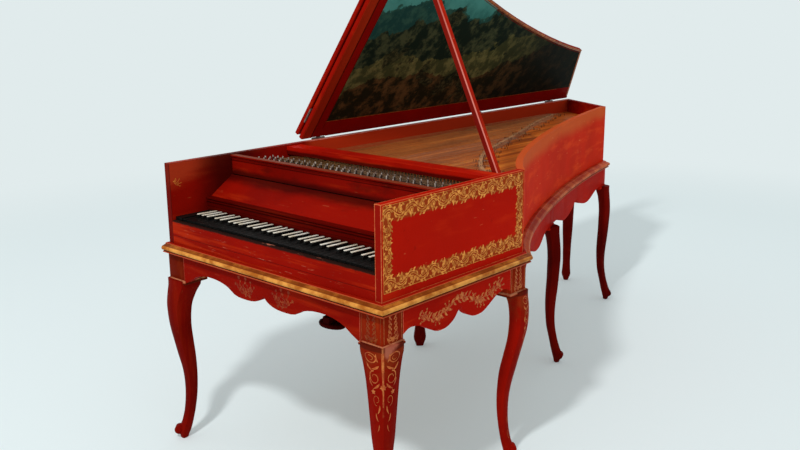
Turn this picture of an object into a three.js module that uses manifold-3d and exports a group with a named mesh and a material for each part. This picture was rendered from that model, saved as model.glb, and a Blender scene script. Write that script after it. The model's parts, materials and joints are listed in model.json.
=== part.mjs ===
import * as THREE from 'three';
import { mergeVertices } from 'three/addons/utils/BufferGeometryUtils.js';
import Module from 'manifold-3d';

const wasm = await Module();
wasm.setup();

// Sizes are in millimetres. x runs from the spine to the cheek, y from the front to the tail, z up
// from the floor. Angles are in degrees.

// Clearances and cuts
const seat = 0.3; // between pieces that touch
const rest = 0.4; // between pieces that touch and then move apart
const overrun = 2; // how far a joined or cut piece runs past a face
const weld = 0.0001; // corners closer than this are one corner

// Case
const caseWidth = 930;
const spineLength = 2371;
const cheekLength = 627;
const tailCornerX = 316;
const tailRun = 182; // along the spine from the tail's corner to its end
const rimHeight = 940;
const caseDepth = 256;
const wall = 22;
const bottomThickness = 14;
const bentsideLeadX = 204; // handles of the bentside curve, from its cheek end and its tail end
const bentsideLeadY = 218;
const bentsideTrailX = 116;
const bentsideTrailY = 570;
const bentsideSteps = 16;

// Stand
const mouldingHeight = 30;
const mouldingNose = 30; // past the walls of the case
const mouldingRound = 12;
const mouldingInset = 50;
const standProud = 5; // the stand's faces stand this far past the walls of the case
const apronThickness = 22;
const blockWidth = 80;
const blockHeight = 98;
const collarHeight = 12;
const collarProud = 5;
const frontApronDrop = 94;
const sideApronDrop = 105;
const bentApronDrop = 118;
const tailApronDrop = 80;
const spineApronDrop = 62;
const legReach = 82; // from the middle of the block to the knee
const legOverlap = 10; // how far a leg runs up into its block
const toeRadius = 15;
const toeLength = 32;
const frontToeReach = 62; // from the middle of the block
const cheekToeReach = 26;
const rearToeReach = 91;
const toeHeight = 30;
const legSides = 8;
const spineLegY = 1160;
const bentsideLegShare = 0.55; // of the bentside curve
const cheekLegInset = 28; // from the end of the cheek to the middle of the block
const tailLegAlong = 110; // along the tail from its spine end
const scallopSteps = 22;

// Stations of a leg from its block to the floor: shares of its height, and of its reach for the
// outward and the inward face. The front legs are the stoutest, and the cheek's leg curves the most.
const frontLegShares = [
  [0.98, 0.78, -0.5], [0.937, 0.83, -0.32], [0.865, 0.89, -0.12], [0.793, 0.88, -0.04],
  [0.72, 0.83, -0.02], [0.63, 0.715, -0.06], [0.54, 0.59, -0.11], [0.45, 0.455, -0.13],
  [0.36, 0.4, -0.115], [0.27, 0.415, -0.06], [0.18, 0.49, 0.045], [0.108, 0.62, 0.16],
  [0.054, 0.78, 0.27], [0, 0.72, 0.42],
];
const cheekLegShares = [
  [0.98, 0.8, -0.04], [0.937, 0.84, 0.05], [0.865, 0.85, 0.1], [0.793, 0.81, 0.09],
  [0.72, 0.7, 0.035], [0.63, 0.54, -0.1], [0.54, 0.385, -0.235], [0.45, 0.235, -0.3],
  [0.36, 0.15, -0.32], [0.27, 0.135, -0.29], [0.18, 0.18, -0.215], [0.108, 0.28, -0.13],
  [0.054, 0.4, -0.04], [0, 0.35, 0.05],
];
const rearLegShares = [
  [0.98, 0.9, 0.14], [0.937, 0.93, 0.24], [0.865, 0.98, 0.32], [0.793, 1, 0.355],
  [0.72, 0.98, 0.355], [0.63, 0.945, 0.35], [0.54, 0.895, 0.325], [0.45, 0.835, 0.315],
  [0.36, 0.81, 0.345], [0.27, 0.85, 0.41], [0.18, 0.97, 0.55], [0.108, 1.12, 0.66],
  [0.054, 1.25, 0.76], [0, 1.1, 0.85],
];
const spineLegShares = [
  [0.98, 0.45, -0.45], [0.865, 0.41, -0.41], [0.72, 0.34, -0.34], [0.54, 0.28, -0.28],
  [0.36, 0.24, -0.24], [0.18, 0.25, -0.25], [0.108, 0.33, -0.33], [0.054, 0.36, -0.36],
  [0, 0.22, -0.22],
];
const legFlatShare = 0.84; // how far the flats of a leg lie out, as a share of its ridges
const legBreadthShare = 1.1; // of its depth

// Lower edges of the aprons, from the middle cusp out to the leg: shares of the half span and of
// the drop
const frontScallopShares = [
  [0, 0.55], [0.04, 0.7], [0.12, 0.82], [0.23, 0.85], [0.34, 0.81], [0.43, 0.62], [0.55, 0.51],
  [0.7, 0.5], [0.83, 0.62], [0.91, 0.81], [1, 1],
];
const sideScallopShares = [
  [0, 0.55], [0.06, 0.71], [0.125, 0.86], [0.25, 0.99], [0.4, 1], [0.52, 0.9], [0.67, 0.71],
  [0.77, 0.62], [0.9, 0.59], [1, 0.7],
];
const bentScallopShares = [
  [0, 0.6], [0.08, 0.72], [0.18, 0.87], [0.32, 0.98], [0.46, 1], [0.58, 0.92], [0.68, 0.81],
  [0.78, 0.735], [0.89, 0.72], [1, 0.72],
];

// Keyboard
const naturalCount = 36;
const keysMargin = 33.5; // from the walls to the keys, which gives an octave of 159.25
const keyGap = 0.8;
const keyFront = 17;
const keyThickness = 20;
const sharpFront = 56;
const sharpBack = 134;
const sharpWidth = 11;
const sharpRise = 12;
const sharpFall = 3; // a sharp is lower at the back
const sharpNose = 4;
const sharpStep = 1; // a sharp's lever lies below the naturals
const sharpFollows = [true, true, true, false, true, true, false]; // F G A B C D E
const sharpShiftShares = [-0.12, 0, 0.12, 0, -0.1, 0.1, 0];
const bassNaturalCount = 18; // naturals below middle c
const jackWidth = 6;
const jackThickness = 3;
const battenWidth = 12;
const battenThickness = 4;

// Key frame and hammers
const balanceY = 250;
const balanceWidth = 16;
const frameEnd = 4; // from the case wall to the end of the frame
const frameBar = 18;
const frameBarHeight = 18;
const frontRailY = 20;
const frontRailWidth = 28;
const frontRailHeight = 31;
const backRailWidth = 22;
const hammerShank = 6;
const hammerButt = 3;
const hammerWidth = 8;
const hammerHeadDepth = 16;
const hammerChamfer = 5;
const hammerRailWidth = 18;
const hammerRailHeight = 22;

// Boards of the keywell
const keyslipThickness = 14;
const keyslipRound = 4;
const keyBlockEnd = 138;
const nameboardFront = 139;
const nameboardThickness = 16;
const nameboardNose = 4;
const nameboardNoseHeight = 10;
const slopeBoardThickness = 10;
const slopeBoardBack = 243;
const fasciaFront = 247;
const fasciaThickness = 15;
const fasciaNose = 6;
const fasciaNoseHeight = 9;

// Strings' supports
const plankThickness = 48;
const nutHeight = 10;
const nutWidth = 11;
const nutEnd = 14;
const bellyThickness = 20;
const soundboardThickness = 3.5;
const bridgeHeight = 15;
const bridgeWidth = 13;
const bridgeSteps = 20;
// Places of the bridge: shares of the width of the case and of the length behind the belly rail
const bridgeShares = [
  [0.935, 0.02873], [0.85, 0.04976], [0.7, 0.11942], [0.54, 0.23771], [0.44, 0.36256],
  [0.31, 0.53999], [0.19, 0.69114], [0.125, 0.79628], [0.09, 0.84886],
];
const railDepth = 66;
const railThickness = 16;
const railLipDepth = 10;
const railLipDrop = 26;

// Dampers and knee lever
const damperThickness = 8;
const damperRailHeight = 12;
const damperWidth = 4;
const rodRadius = 5;
const rodHole = 8;
const padY = 60;
const padThickness = 14;
const padHalfWidth = 45;
const padHalfDepth = 30;
const padRound = 6;
const armWidth = 24;
const armThickness = 18;
const armFront = 25; // past the middle of the pad
const leverEye = 12;
const leverPin = 4;
const earThickness = 6;
const earHeight = 12; // below the pivot
const bracketDepth = 36;
const bracketPlate = 7;

// Lid, flap and prop
const lidAngle = 54; // how far the lid stands open
const lidAxisOut = 5; // the hinge line lies outside the spine
const lidLift = 1; // between the rim and the closed lid
const lidThickness = 17;
const lidInset = 8; // inside the outer faces of the walls
const lidChamfer = 2.5;
const flapAxisLift = 3.8; // above the back of the lid
const hingeLength = 60;
const hingeReach = 30;
const leafThickness = 2;
const lidKnuckle = 4;
const flapKnuckle = 3.5;
const hingePin = 2;
const lidHingeReach = 15;
const propWidth = 18;
const propFootRadius = 10;
const propPin = 4;
const propFaceSlope = 8;
const propHeadShift = 2.7;
const propBlockWidth = 20;
const propBlockDepth = 19;
const propBlockDrop = 30;
const pegDrop = 6;
const pegRadius = 4;
const pegPlateWidth = 12; // clear of the cheek when the lid is shut
const pegPlateLength = 34;
const pegPlateThickness = 2;
const roundSides = 12;

// Heights above the bottom of the case, which the keys and the hammers follow
const keyRise = 81;
const hammerAxisRise = 116;
const hammerHeadRise = 188;
const keyslipRise = 74;
const keyBlockRise = 84;
const nameboardBottomRise = 83;
const nameboardTopRise = 128;
const slopeBoardRise = 187;

// Depths below the rim, which the strings, the dampers and the boards at the top follow
const fasciaBottomDepth = 67;
const fasciaTopDepth = 3;
const plankDepth = 47;
const soundboardDepth = 60;
const railDepthBelowRim = 6;
const damperBottomDepth = 94;
const damperTopDepth = 28;
const propFootDepth = 22;

// Depths below the bottom of the case
const padDepth = 124;
const leverPivotDepth = 22;

// Lengths forward of the end of the cheek, which the action and the back boards follow
const hammerAxisBefore = 197;
const hammerHeadBefore = 119;
const keyTailBefore = 161;
const jackBefore = 172;
const battenBefore = 227;
const backRailBefore = 187;
const plankBefore = 156.7;
const nutBassBefore = 195;
const nutTrebleBefore = 181;
const bellyBefore = 80;
const railBefore = 140;
const damperBefore = 98;
const lidBefore = 49;
const leverPivotBehind = 13;

// Lengths from the cheek inwards, and along the lid
const leverInset = 248;
const propFootInset = 51;
const pegInset = 25;
const flapHingeInset = 100;
const frontHingeInset = 85; // from the front of the lid
const middleHingeInset = 749; // from the tail end of the spine
const rearHingeInset = 168;

// Places worked out from the sizes
const caseBottom = rimHeight - caseDepth;
const mouldingTop = caseBottom - seat;
const mouldingBottom = mouldingTop - mouldingHeight;
const standTop = mouldingBottom - seat;
const legHeight = standTop - blockHeight;
const keysLeft = wall + keysMargin;
const naturalPitch = (caseWidth - 2 * keysLeft) / naturalCount;
const keyTop = caseBottom + keyRise;
const keyBottom = keyTop - keyThickness;
const keyTailEnd = cheekLength - keyTailBefore;
const jackY = cheekLength - jackBefore;
const battenY = cheekLength - battenBefore;
const backRailY = cheekLength - backRailBefore;
const hammerAxisY = cheekLength - hammerAxisBefore;
const hammerAxisZ = caseBottom + hammerAxisRise;
const hammerHeadY = cheekLength - hammerHeadBefore;
const hammerHeadTop = caseBottom + hammerHeadRise;
const keyslipTop = caseBottom + keyslipRise;
const keyBlockTop = caseBottom + keyBlockRise;
const nameboardBottom = caseBottom + nameboardBottomRise;
const nameboardTop = caseBottom + nameboardTopRise;
const slopeBoardTop = caseBottom + slopeBoardRise;
const fasciaBottom = rimHeight - fasciaBottomDepth;
const fasciaTop = rimHeight - fasciaTopDepth;
const innerLeft = wall + seat;
const innerRight = caseWidth - wall - seat;
const floorTop = caseBottom + bottomThickness;
const frameBottom = floorTop + seat;
const lidAxisZ = rimHeight + lidLift;
const plankFront = fasciaFront + fasciaThickness + seat;
const plankBack = cheekLength - plankBefore;
const plankTop = rimHeight - plankDepth;
const nutBassY = cheekLength - nutBassBefore;
const nutTrebleY = cheekLength - nutTrebleBefore;
const bellyY = cheekLength - bellyBefore;
const bellyBack = bellyY + bellyThickness;
const soundboardTop = rimHeight - soundboardDepth;
const railFront = cheekLength - railBefore;
const railTop = rimHeight - railDepthBelowRim;
const damperY = cheekLength - damperBefore;
const damperBottom = rimHeight - damperBottomDepth;
const damperTop = rimHeight - damperTopDepth;
const leverX = caseWidth - leverInset;
const padTop = caseBottom - padDepth;
const leverPivotY = cheekLength + leverPivotBehind;
const leverPivotZ = caseBottom - leverPivotDepth;
const lidFront = cheekLength - lidBefore;
const lidHingePlaces = [
  lidFront + frontHingeInset, spineLength - middleHingeInset, spineLength - rearHingeInset,
];
const flapHingePlaces = [flapHingeInset, caseWidth - flapHingeInset];
const propBack = lidFront - flapKnuckle - 3 * rest;
const propFootX = caseWidth - propFootInset;
const propFootZ = rimHeight - propFootDepth;
const pegReach = caseWidth - pegInset;

const frontLeft = new THREE.Vector2(0, 0);
const frontRight = new THREE.Vector2(caseWidth, 0);
const cheekEnd = new THREE.Vector2(caseWidth, cheekLength);
const tailRight = new THREE.Vector2(tailCornerX, spineLength - tailRun);
const tailLeft = new THREE.Vector2(0, spineLength);
const alongFront = new THREE.Vector2(1, 0);
const alongCheek = new THREE.Vector2(0, 1);
const alongTail = tailLeft.clone().sub(tailRight).normalize();
const alongSpine = new THREE.Vector2(0, -1);
const bentside = new THREE.CubicBezierCurve(
  cheekEnd,
  new THREE.Vector2(cheekEnd.x - bentsideLeadX, cheekEnd.y + bentsideLeadY),
  new THREE.Vector2(tailRight.x + bentsideTrailX, tailRight.y - bentsideTrailY),
  tailRight,
);

// Finishes
function lacquer() {
  return new THREE.MeshStandardMaterial({ color: 0x97150c, roughness: 0.35, metalness: 0 });
}

function gilding() {
  return new THREE.MeshStandardMaterial({ color: 0xc9803a, roughness: 0.4, metalness: 0.3 });
}

function bareWood() {
  return new THREE.MeshStandardMaterial({ color: 0x9c6a38, roughness: 0.6, metalness: 0 });
}

function soundboardWood() {
  return new THREE.MeshStandardMaterial({ color: 0xb98a4e, roughness: 0.5, metalness: 0 });
}

function ebony() {
  return new THREE.MeshStandardMaterial({ color: 0x14110f, roughness: 0.4, metalness: 0 });
}

function leatheredWood() {
  return new THREE.MeshStandardMaterial({ color: 0xb79c78, roughness: 0.8, metalness: 0 });
}

function iron() {
  return new THREE.MeshStandardMaterial({ color: 0x3a3330, roughness: 0.5, metalness: 0.8 });
}

// Geometry helpers
function solid(geometry) {
  const bare = geometry.clone();
  bare.deleteAttribute('normal');
  bare.deleteAttribute('uv');
  const merged = mergeVertices(bare, weld);
  return new wasm.Manifold(new wasm.Mesh({
    numProp: 3,
    vertProperties: new Float32Array(merged.attributes.position.array),
    triVerts: new Uint32Array(merged.index.array),
  }));
}

function surface(manifold) {
  const mesh = manifold.getMesh();
  const geometry = new THREE.BufferGeometry();
  geometry.setAttribute('position', new THREE.BufferAttribute(new Float32Array(mesh.vertProperties), 3));
  geometry.setIndex(new THREE.BufferAttribute(new Uint32Array(mesh.triVerts), 1));
  geometry.computeVertexNormals();
  return geometry;
}

function joined(geometries) {
  return surface(geometries.map(solid).reduce((whole, next) => whole.add(next)));
}

function cut(geometry, cutters) {
  return surface(cutters.map(solid).reduce((whole, next) => whole.subtract(next), solid(geometry)));
}

function common(a, b) {
  return surface(solid(a).intersect(solid(b)));
}

function piece(name, geometry, finish) {
  const mesh = new THREE.Mesh(geometry, finish);
  mesh.name = name;
  return mesh;
}

function block(x0, x1, y0, y1, z0, z1) {
  const box = new THREE.BoxGeometry(x1 - x0, y1 - y0, z1 - z0);
  return box.translate((x0 + x1) / 2, (y0 + y1) / 2, (z0 + z1) / 2);
}

function vectors(pairs) {
  return pairs.map(([a, b]) => new THREE.Vector2(a, b));
}

// An outline in x and y, raised from z0 to z1
function raised(outline, z0, z1) {
  const options = { depth: z1 - z0, bevelEnabled: false };
  return new THREE.ExtrudeGeometry(new THREE.Shape(outline), options).translate(0, 0, z0);
}

// An outline in y and z, drawn out from x0 to x1
function acrossX(outline, x0, x1) {
  const options = { depth: x1 - x0, bevelEnabled: false };
  const geometry = new THREE.ExtrudeGeometry(new THREE.Shape(outline), options);
  const turn = new THREE.Matrix4().makeBasis(
    new THREE.Vector3(0, 1, 0), new THREE.Vector3(0, 0, 1), new THREE.Vector3(1, 0, 0),
  );
  return geometry.applyMatrix4(turn).translate(x0, 0, 0);
}

// A shape in x and z, drawn out forward from the plane y = back
function acrossY(shape, back, thickness) {
  const options = { depth: thickness, bevelEnabled: false, curveSegments: roundSides / 2 };
  const geometry = new THREE.ExtrudeGeometry(shape, options);
  const turn = new THREE.Matrix4().makeBasis(
    new THREE.Vector3(1, 0, 0), new THREE.Vector3(0, 0, 1), new THREE.Vector3(0, -1, 0),
  );
  return geometry.applyMatrix4(turn).translate(0, back, 0);
}

// A round bar along y from y0 to y1, about the point x, z
function barAlongY(radius, x, z, y0, y1) {
  const bar = new THREE.CylinderGeometry(radius, radius, y1 - y0, roundSides);
  return bar.translate(x, (y0 + y1) / 2, z);
}

// A round bar along x from x0 to x1, about the point y, z
function barAlongX(radius, y, z, x0, x1) {
  const bar = new THREE.CylinderGeometry(radius, radius, x1 - x0, roundSides);
  return bar.rotateZ(-Math.PI / 2).translate((x0 + x1) / 2, y, z);
}

// A round bar along z from z0 to z1, about the point x, y
function barAlongZ(radius, x, y, z0, z1) {
  const bar = new THREE.CylinderGeometry(radius, radius, z1 - z0, roundSides);
  return bar.rotateX(Math.PI / 2).translate(x, y, (z0 + z1) / 2);
}

// Plan of the case
function outward(direction) {
  return new THREE.Vector2(direction.y, -direction.x).normalize();
}

function mitred(corner, before, after, offset) {
  const a = outward(before);
  const b = outward(after);
  return a.clone().add(b).multiplyScalar(offset / (1 + a.dot(b))).add(corner);
}

// The bentside from its cheek end to its tail end, moved outward by an offset
function bentsideRun(offset) {
  const run = [mitred(cheekEnd, alongCheek, bentside.getTangent(0), offset)];
  for (let i = 1; i < bentsideSteps; i += 1) {
    const share = i / bentsideSteps;
    const side = outward(bentside.getTangent(share));
    run.push(bentside.getPoint(share).addScaledVector(side, offset));
  }
  run.push(mitred(tailRight, bentside.getTangent(1), alongTail, offset));
  return run;
}

function tailCorner(offset) {
  return mitred(tailLeft, alongTail, alongSpine, offset);
}

function planOutline(offset) {
  return [
    mitred(frontLeft, alongSpine, alongFront, offset),
    mitred(frontRight, alongFront, alongCheek, offset),
    ...bentsideRun(offset),
    tailCorner(offset),
  ];
}

// The inside of the case behind the plane y = front
function insideOutline(front) {
  const offset = -wall - seat;
  return [
    new THREE.Vector2(innerLeft, front),
    new THREE.Vector2(innerRight, front),
    ...bentsideRun(offset),
    tailCorner(offset),
  ];
}

// Case walls and floor
function spine() {
  const inner = tailCorner(-wall);
  const outline = vectors([[0, 0], [wall, 0], [wall, inner.y - seat], [0, spineLength - seat]]);
  return piece('spine', raised(outline, caseBottom, rimHeight), lacquer());
}

function cheek() {
  const inner = bentsideRun(-wall)[0];
  const outline = vectors([
    [caseWidth - wall, 0], [caseWidth, 0], [caseWidth, cheekLength - seat], [inner.x, inner.y - seat],
  ]);
  return piece('cheek', raised(outline, caseBottom, rimHeight), lacquer());
}

function bentsideWall() {
  const outline = [...bentsideRun(0), ...bentsideRun(-wall).reverse()];
  return piece('bentside', raised(outline, caseBottom, rimHeight), lacquer());
}

function tail() {
  const innerRun = bentsideRun(-wall);
  const step = alongTail.clone().multiplyScalar(seat);
  const outline = [
    tailRight.clone().add(step),
    tailLeft.clone().sub(step),
    tailCorner(-wall).sub(step),
    innerRun[innerRun.length - 1].clone().add(step),
  ];
  return piece('tail', raised(outline, caseBottom, rimHeight), lacquer());
}

function bottomBoard() {
  const board = raised(insideOutline(keyslipThickness + seat), caseBottom, floorTop);
  const hole = barAlongZ(
    rodHole, leverX, damperY + damperThickness / 2, caseBottom - overrun, floorTop + overrun,
  );
  return piece('bottom_board', cut(board, [hole]), bareWood());
}

function keyslip() {
  const outline = vectors([
    [0, caseBottom], [keyslipThickness, caseBottom], [keyslipThickness, keyslipTop],
    [keyslipRound, keyslipTop], [0, keyslipTop - keyslipRound],
  ]);
  return piece('keyslip', acrossX(outline, innerLeft, innerRight), lacquer());
}

function keyBlock(name, x0, x1) {
  const bottom = frameBottom + frontRailHeight + seat;
  const box = block(x0, x1, keyslipThickness + seat, keyBlockEnd, bottom, keyBlockTop);
  return piece(name, box, ebony());
}

function lowerNameboard() {
  const back = nameboardFront + nameboardThickness;
  const nose = nameboardFront - nameboardNose;
  const outline = vectors([
    [nameboardFront, nameboardBottom], [back, nameboardBottom], [back, nameboardTop],
    [nose, nameboardTop], [nose, nameboardTop - nameboardNoseHeight / 2],
    [nameboardFront, nameboardTop - nameboardNoseHeight],
  ]);
  return piece('lower_nameboard', acrossX(outline, innerLeft, innerRight), lacquer());
}

function slopingBoard() {
  const front = nameboardFront + nameboardThickness + seat;
  const outline = vectors([
    [front, nameboardTop - slopeBoardThickness], [slopeBoardBack, slopeBoardTop - slopeBoardThickness],
    [slopeBoardBack, slopeBoardTop], [front, nameboardTop],
  ]);
  return piece('sloping_board', acrossX(outline, innerLeft, innerRight), lacquer());
}

function upperNameboard() {
  const back = fasciaFront + fasciaThickness;
  const nose = fasciaFront - fasciaNose;
  const outline = vectors([
    [fasciaFront, fasciaBottom], [back, fasciaBottom], [back, fasciaTop], [nose, fasciaTop],
    [nose, fasciaTop - fasciaNoseHeight / 2], [fasciaFront, fasciaTop - fasciaNoseHeight],
  ]);
  return piece('upper_nameboard', acrossX(outline, innerLeft, innerRight), lacquer());
}

function wrestPlank() {
  const box = block(
    innerLeft, innerRight, plankFront, plankBack, plankTop - plankThickness, plankTop,
  );
  return piece('wrest_plank', box, bareWood());
}

function nut() {
  const outline = vectors([
    [innerLeft + nutEnd, nutBassY], [innerRight - nutEnd, nutTrebleY],
    [innerRight - nutEnd, nutTrebleY + nutWidth], [innerLeft + nutEnd, nutBassY + nutWidth],
  ]);
  return piece('nut', raised(outline, plankTop + seat, plankTop + nutHeight), bareWood());
}

function bellyRail() {
  const top = soundboardTop - soundboardThickness - seat;
  const box = block(innerLeft, innerRight, bellyY, bellyBack, frameBottom, top);
  return piece('belly_rail', box, bareWood());
}

function soundboard() {
  const board = raised(insideOutline(bellyY), soundboardTop - soundboardThickness, soundboardTop);
  return piece('soundboard', board, soundboardWood());
}

function bridge() {
  const places = bridgeShares.map(([across, along]) => (
    new THREE.Vector2(across * caseWidth, bellyBack + along * (spineLength - bellyBack))
  ));
  const line = new THREE.SplineCurve(places);
  const near = [];
  const far = [];
  for (let i = 0; i <= bridgeSteps; i += 1) {
    const point = line.getPoint(i / bridgeSteps);
    const side = outward(line.getTangent(i / bridgeSteps));
    near.push(point.clone().addScaledVector(side, bridgeWidth / 2));
    far.push(point.clone().addScaledVector(side, -bridgeWidth / 2));
  }
  const outline = [...near, ...far.reverse()];
  return piece('bridge', raised(outline, soundboardTop + seat, soundboardTop + bridgeHeight), bareWood());
}

function jackRail() {
  const back = railFront + railDepth;
  const lipBack = railFront + railLipDepth;
  const outline = vectors([
    [railFront, railTop - railLipDrop], [lipBack, railTop - railLipDrop],
    [lipBack, railTop - railThickness], [back, railTop - railThickness], [back, railTop],
    [railFront, railTop],
  ]);
  return piece('jack_rail', acrossX(outline, innerLeft, innerRight), lacquer());
}

// Keyboard
function sharpCentre(place) {
  const shift = sharpShiftShares[place % sharpFollows.length] * naturalPitch;
  return keysLeft + (place + 1) * naturalPitch + shift;
}

function hasSharpAfter(place) {
  return place >= 0 && place < naturalCount - 1 && sharpFollows[place % sharpFollows.length];
}

// Where the lever of a natural runs between the sharps beside it
function naturalLever(place) {
  const side = sharpWidth / 2 + keyGap;
  const left = hasSharpAfter(place - 1)
    ? sharpCentre(place - 1) + side : keysLeft + place * naturalPitch + keyGap / 2;
  const right = hasSharpAfter(place)
    ? sharpCentre(place) - side : keysLeft + (place + 1) * naturalPitch - keyGap / 2;
  return [left, right];
}

function jack(x) {
  const top = hammerAxisZ - hammerShank / 2 - rest;
  return block(
    x - jackWidth / 2, x + jackWidth / 2, jackY - jackThickness / 2, jackY + jackThickness / 2,
    keyTop - sharpStep - overrun, top,
  );
}

function naturalKey(place) {
  const headLeft = keysLeft + place * naturalPitch + keyGap / 2;
  const headRight = headLeft + naturalPitch - keyGap;
  const headEnd = sharpFront - keyGap;
  const [left, right] = naturalLever(place);
  const outline = [[headLeft, keyFront], [headRight, keyFront]];
  if (right < headRight) outline.push([headRight, headEnd], [right, headEnd]);
  outline.push([right, keyTailEnd], [left, keyTailEnd]);
  if (left > headLeft) outline.push([left, headEnd], [headLeft, headEnd]);
  return joined([raised(vectors(outline), keyBottom, keyTop), jack((left + right) / 2)]);
}

function sharpKey(place) {
  const centre = sharpCentre(place);
  const lever = keyTop - sharpStep;
  const top = keyTop + sharpRise;
  const outline = vectors([
    [sharpFront, keyBottom], [keyTailEnd, keyBottom], [keyTailEnd, lever], [sharpBack, lever],
    [sharpBack, top - sharpFall], [sharpFront + sharpNose, top], [sharpFront, top - sharpNose],
  ]);
  const body = acrossX(outline, centre - sharpWidth / 2, centre + sharpWidth / 2);
  return joined([body, jack(centre)]);
}

// Every key from the left, with the middle of its lever
function keyRow() {
  const row = [];
  for (let place = 0; place < naturalCount; place += 1) {
    const [left, right] = naturalLever(place);
    row.push({ place, sharp: false, x: (left + right) / 2 });
    if (hasSharpAfter(place)) row.push({ place, sharp: true, x: sharpCentre(place) });
  }
  return row;
}

function keyGeometry(key) {
  return key.sharp ? sharpKey(key.place) : naturalKey(key.place);
}

// The keys on one side of the middle ones, joined by a batten under their levers
function joinedKeys(name, keys) {
  const half = sharpWidth / 2;
  const batten = block(
    keys[0].x - half, keys[keys.length - 1].x + half, battenY, battenY + battenWidth,
    keyBottom - battenThickness, keyBottom + overrun,
  );
  return piece(name, joined([...keys.map(keyGeometry), batten]), ebony());
}

function keyFrame() {
  const left = innerLeft + frameEnd;
  const right = innerRight - frameEnd;
  const railTopZ = keyBottom - rest;
  const backEnd = backRailY + backRailWidth;
  const hammerRailBack = hammerAxisY - Math.hypot(hammerButt, hammerShank / 2) - rest;
  const hammerRailBottom = hammerAxisZ - hammerRailHeight / 2;
  const parts = [
    block(left, right, frontRailY, frontRailY + frontRailWidth, frameBottom, frameBottom + frontRailHeight),
    block(left, right, balanceY - balanceWidth / 2, balanceY + balanceWidth / 2, frameBottom, railTopZ),
    block(left, right, backRailY, backEnd, frameBottom, railTopZ),
    block(
      left, right, hammerRailBack - hammerRailWidth, hammerRailBack,
      hammerRailBottom, hammerRailBottom + hammerRailHeight,
    ),
  ];
  for (const x of [left, right - frameBar]) {
    parts.push(block(x, x + frameBar, frontRailY, backEnd, frameBottom, frameBottom + frameBarHeight));
    parts.push(block(
      x, x + frameBar, hammerRailBack - hammerRailWidth, backEnd,
      frameBottom, hammerRailBottom + hammerRailHeight,
    ));
  }
  return piece('key_frame', joined(parts), bareWood());
}

// Hammers and dampers
function hammer(x) {
  const under = hammerAxisZ - hammerShank / 2;
  const back = hammerHeadY + hammerHeadDepth;
  const shoulder = hammerHeadTop - hammerChamfer;
  const outline = vectors([
    [hammerAxisY - hammerButt, under], [back, under], [back, shoulder],
    [back - hammerChamfer, hammerHeadTop], [hammerHeadY + hammerChamfer, hammerHeadTop],
    [hammerHeadY, shoulder], [hammerHeadY, under + hammerShank],
    [hammerAxisY - hammerButt, under + hammerShank],
  ]);
  return acrossX(outline, x - hammerWidth / 2, x + hammerWidth / 2);
}

// The hammers on one side of the middle ones, joined by a rod along their axis
function joinedHammers(name, keys) {
  const half = hammerShank / 2;
  const rod = block(
    keys[0].x - hammerWidth / 2, keys[keys.length - 1].x + hammerWidth / 2,
    hammerAxisY - hammerButt, hammerAxisY + half, hammerAxisZ - half, hammerAxisZ + half,
  );
  return piece(name, joined([...keys.map((key) => hammer(key.x)), rod]), leatheredWood());
}

function armTopAt(y) {
  const front = padY - armFront;
  const share = (y - front) / (leverPivotY - front);
  const low = padTop + armThickness;
  return low + share * (leverPivotZ + armThickness / 2 - low);
}

function damperRail(row) {
  const half = damperWidth / 2;
  const outline = [[innerLeft + seat, damperBottom], [innerRight - seat, damperBottom]];
  const shoulder = damperBottom + damperRailHeight;
  outline.push([innerRight - seat, shoulder]);
  for (const key of [...row].reverse()) {
    outline.push([key.x + half, shoulder], [key.x + half, damperTop]);
    outline.push([key.x - half, damperTop], [key.x - half, shoulder]);
  }
  outline.push([innerLeft + seat, shoulder]);
  const comb = acrossY(new THREE.Shape(vectors(outline)), damperY + damperThickness, damperThickness);
  const rodY = damperY + damperThickness / 2;
  const rodBottom = armTopAt(rodY + rodRadius) + rest;
  const rod = barAlongZ(rodRadius, leverX, rodY, rodBottom, damperBottom + overrun);
  return piece('damper_rail', joined([comb, rod]), leatheredWood());
}

function kneeLever() {
  const front = padY - armFront;
  const arm = acrossX(
    vectors([
      [front, padTop - overrun], [leverPivotY, leverPivotZ - armThickness / 2],
      [leverPivotY, leverPivotZ + armThickness / 2], [front, armTopAt(front)],
    ]),
    leverX - armWidth / 2, leverX + armWidth / 2,
  );
  const eye = barAlongX(leverEye, leverPivotY, leverPivotZ, leverX - armWidth / 2, leverX + armWidth / 2);
  const bore = barAlongX(
    leverPin + rest, leverPivotY, leverPivotZ,
    leverX - armWidth / 2 - overrun, leverX + armWidth / 2 + overrun,
  );
  const oval = new THREE.Shape().absellipse(
    0, 0, padHalfWidth - padRound, padHalfDepth - padRound, 0, 2 * Math.PI, false, 0,
  );
  const pad = new THREE.ExtrudeGeometry(oval, {
    depth: padThickness - 2 * padRound,
    bevelThickness: padRound,
    bevelSize: padRound,
    bevelSegments: 2,
    curveSegments: roundSides,
  }).translate(leverX, padY, padTop - padThickness + padRound);
  return piece('knee_lever', cut(joined([arm, eye, pad]), [bore]), lacquer());
}

function kneeLeverBracket() {
  const half = armWidth / 2 + rest;
  const outer = half + earThickness;
  const y0 = leverPivotY - bracketDepth / 2;
  const y1 = leverPivotY + bracketDepth / 2;
  const top = caseBottom - seat;
  const earBottom = leverPivotZ - earHeight;
  const parts = [
    block(leverX - outer, leverX + outer, y0, y1, top - bracketPlate, top),
    block(leverX - outer, leverX - half, y0, y1, earBottom, top),
    block(leverX + half, leverX + outer, y0, y1, earBottom, top),
    barAlongX(leverPin, leverPivotY, leverPivotZ, leverX - outer, leverX + outer),
  ];
  return piece('knee_lever_bracket', joined(parts), iron());
}

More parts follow.
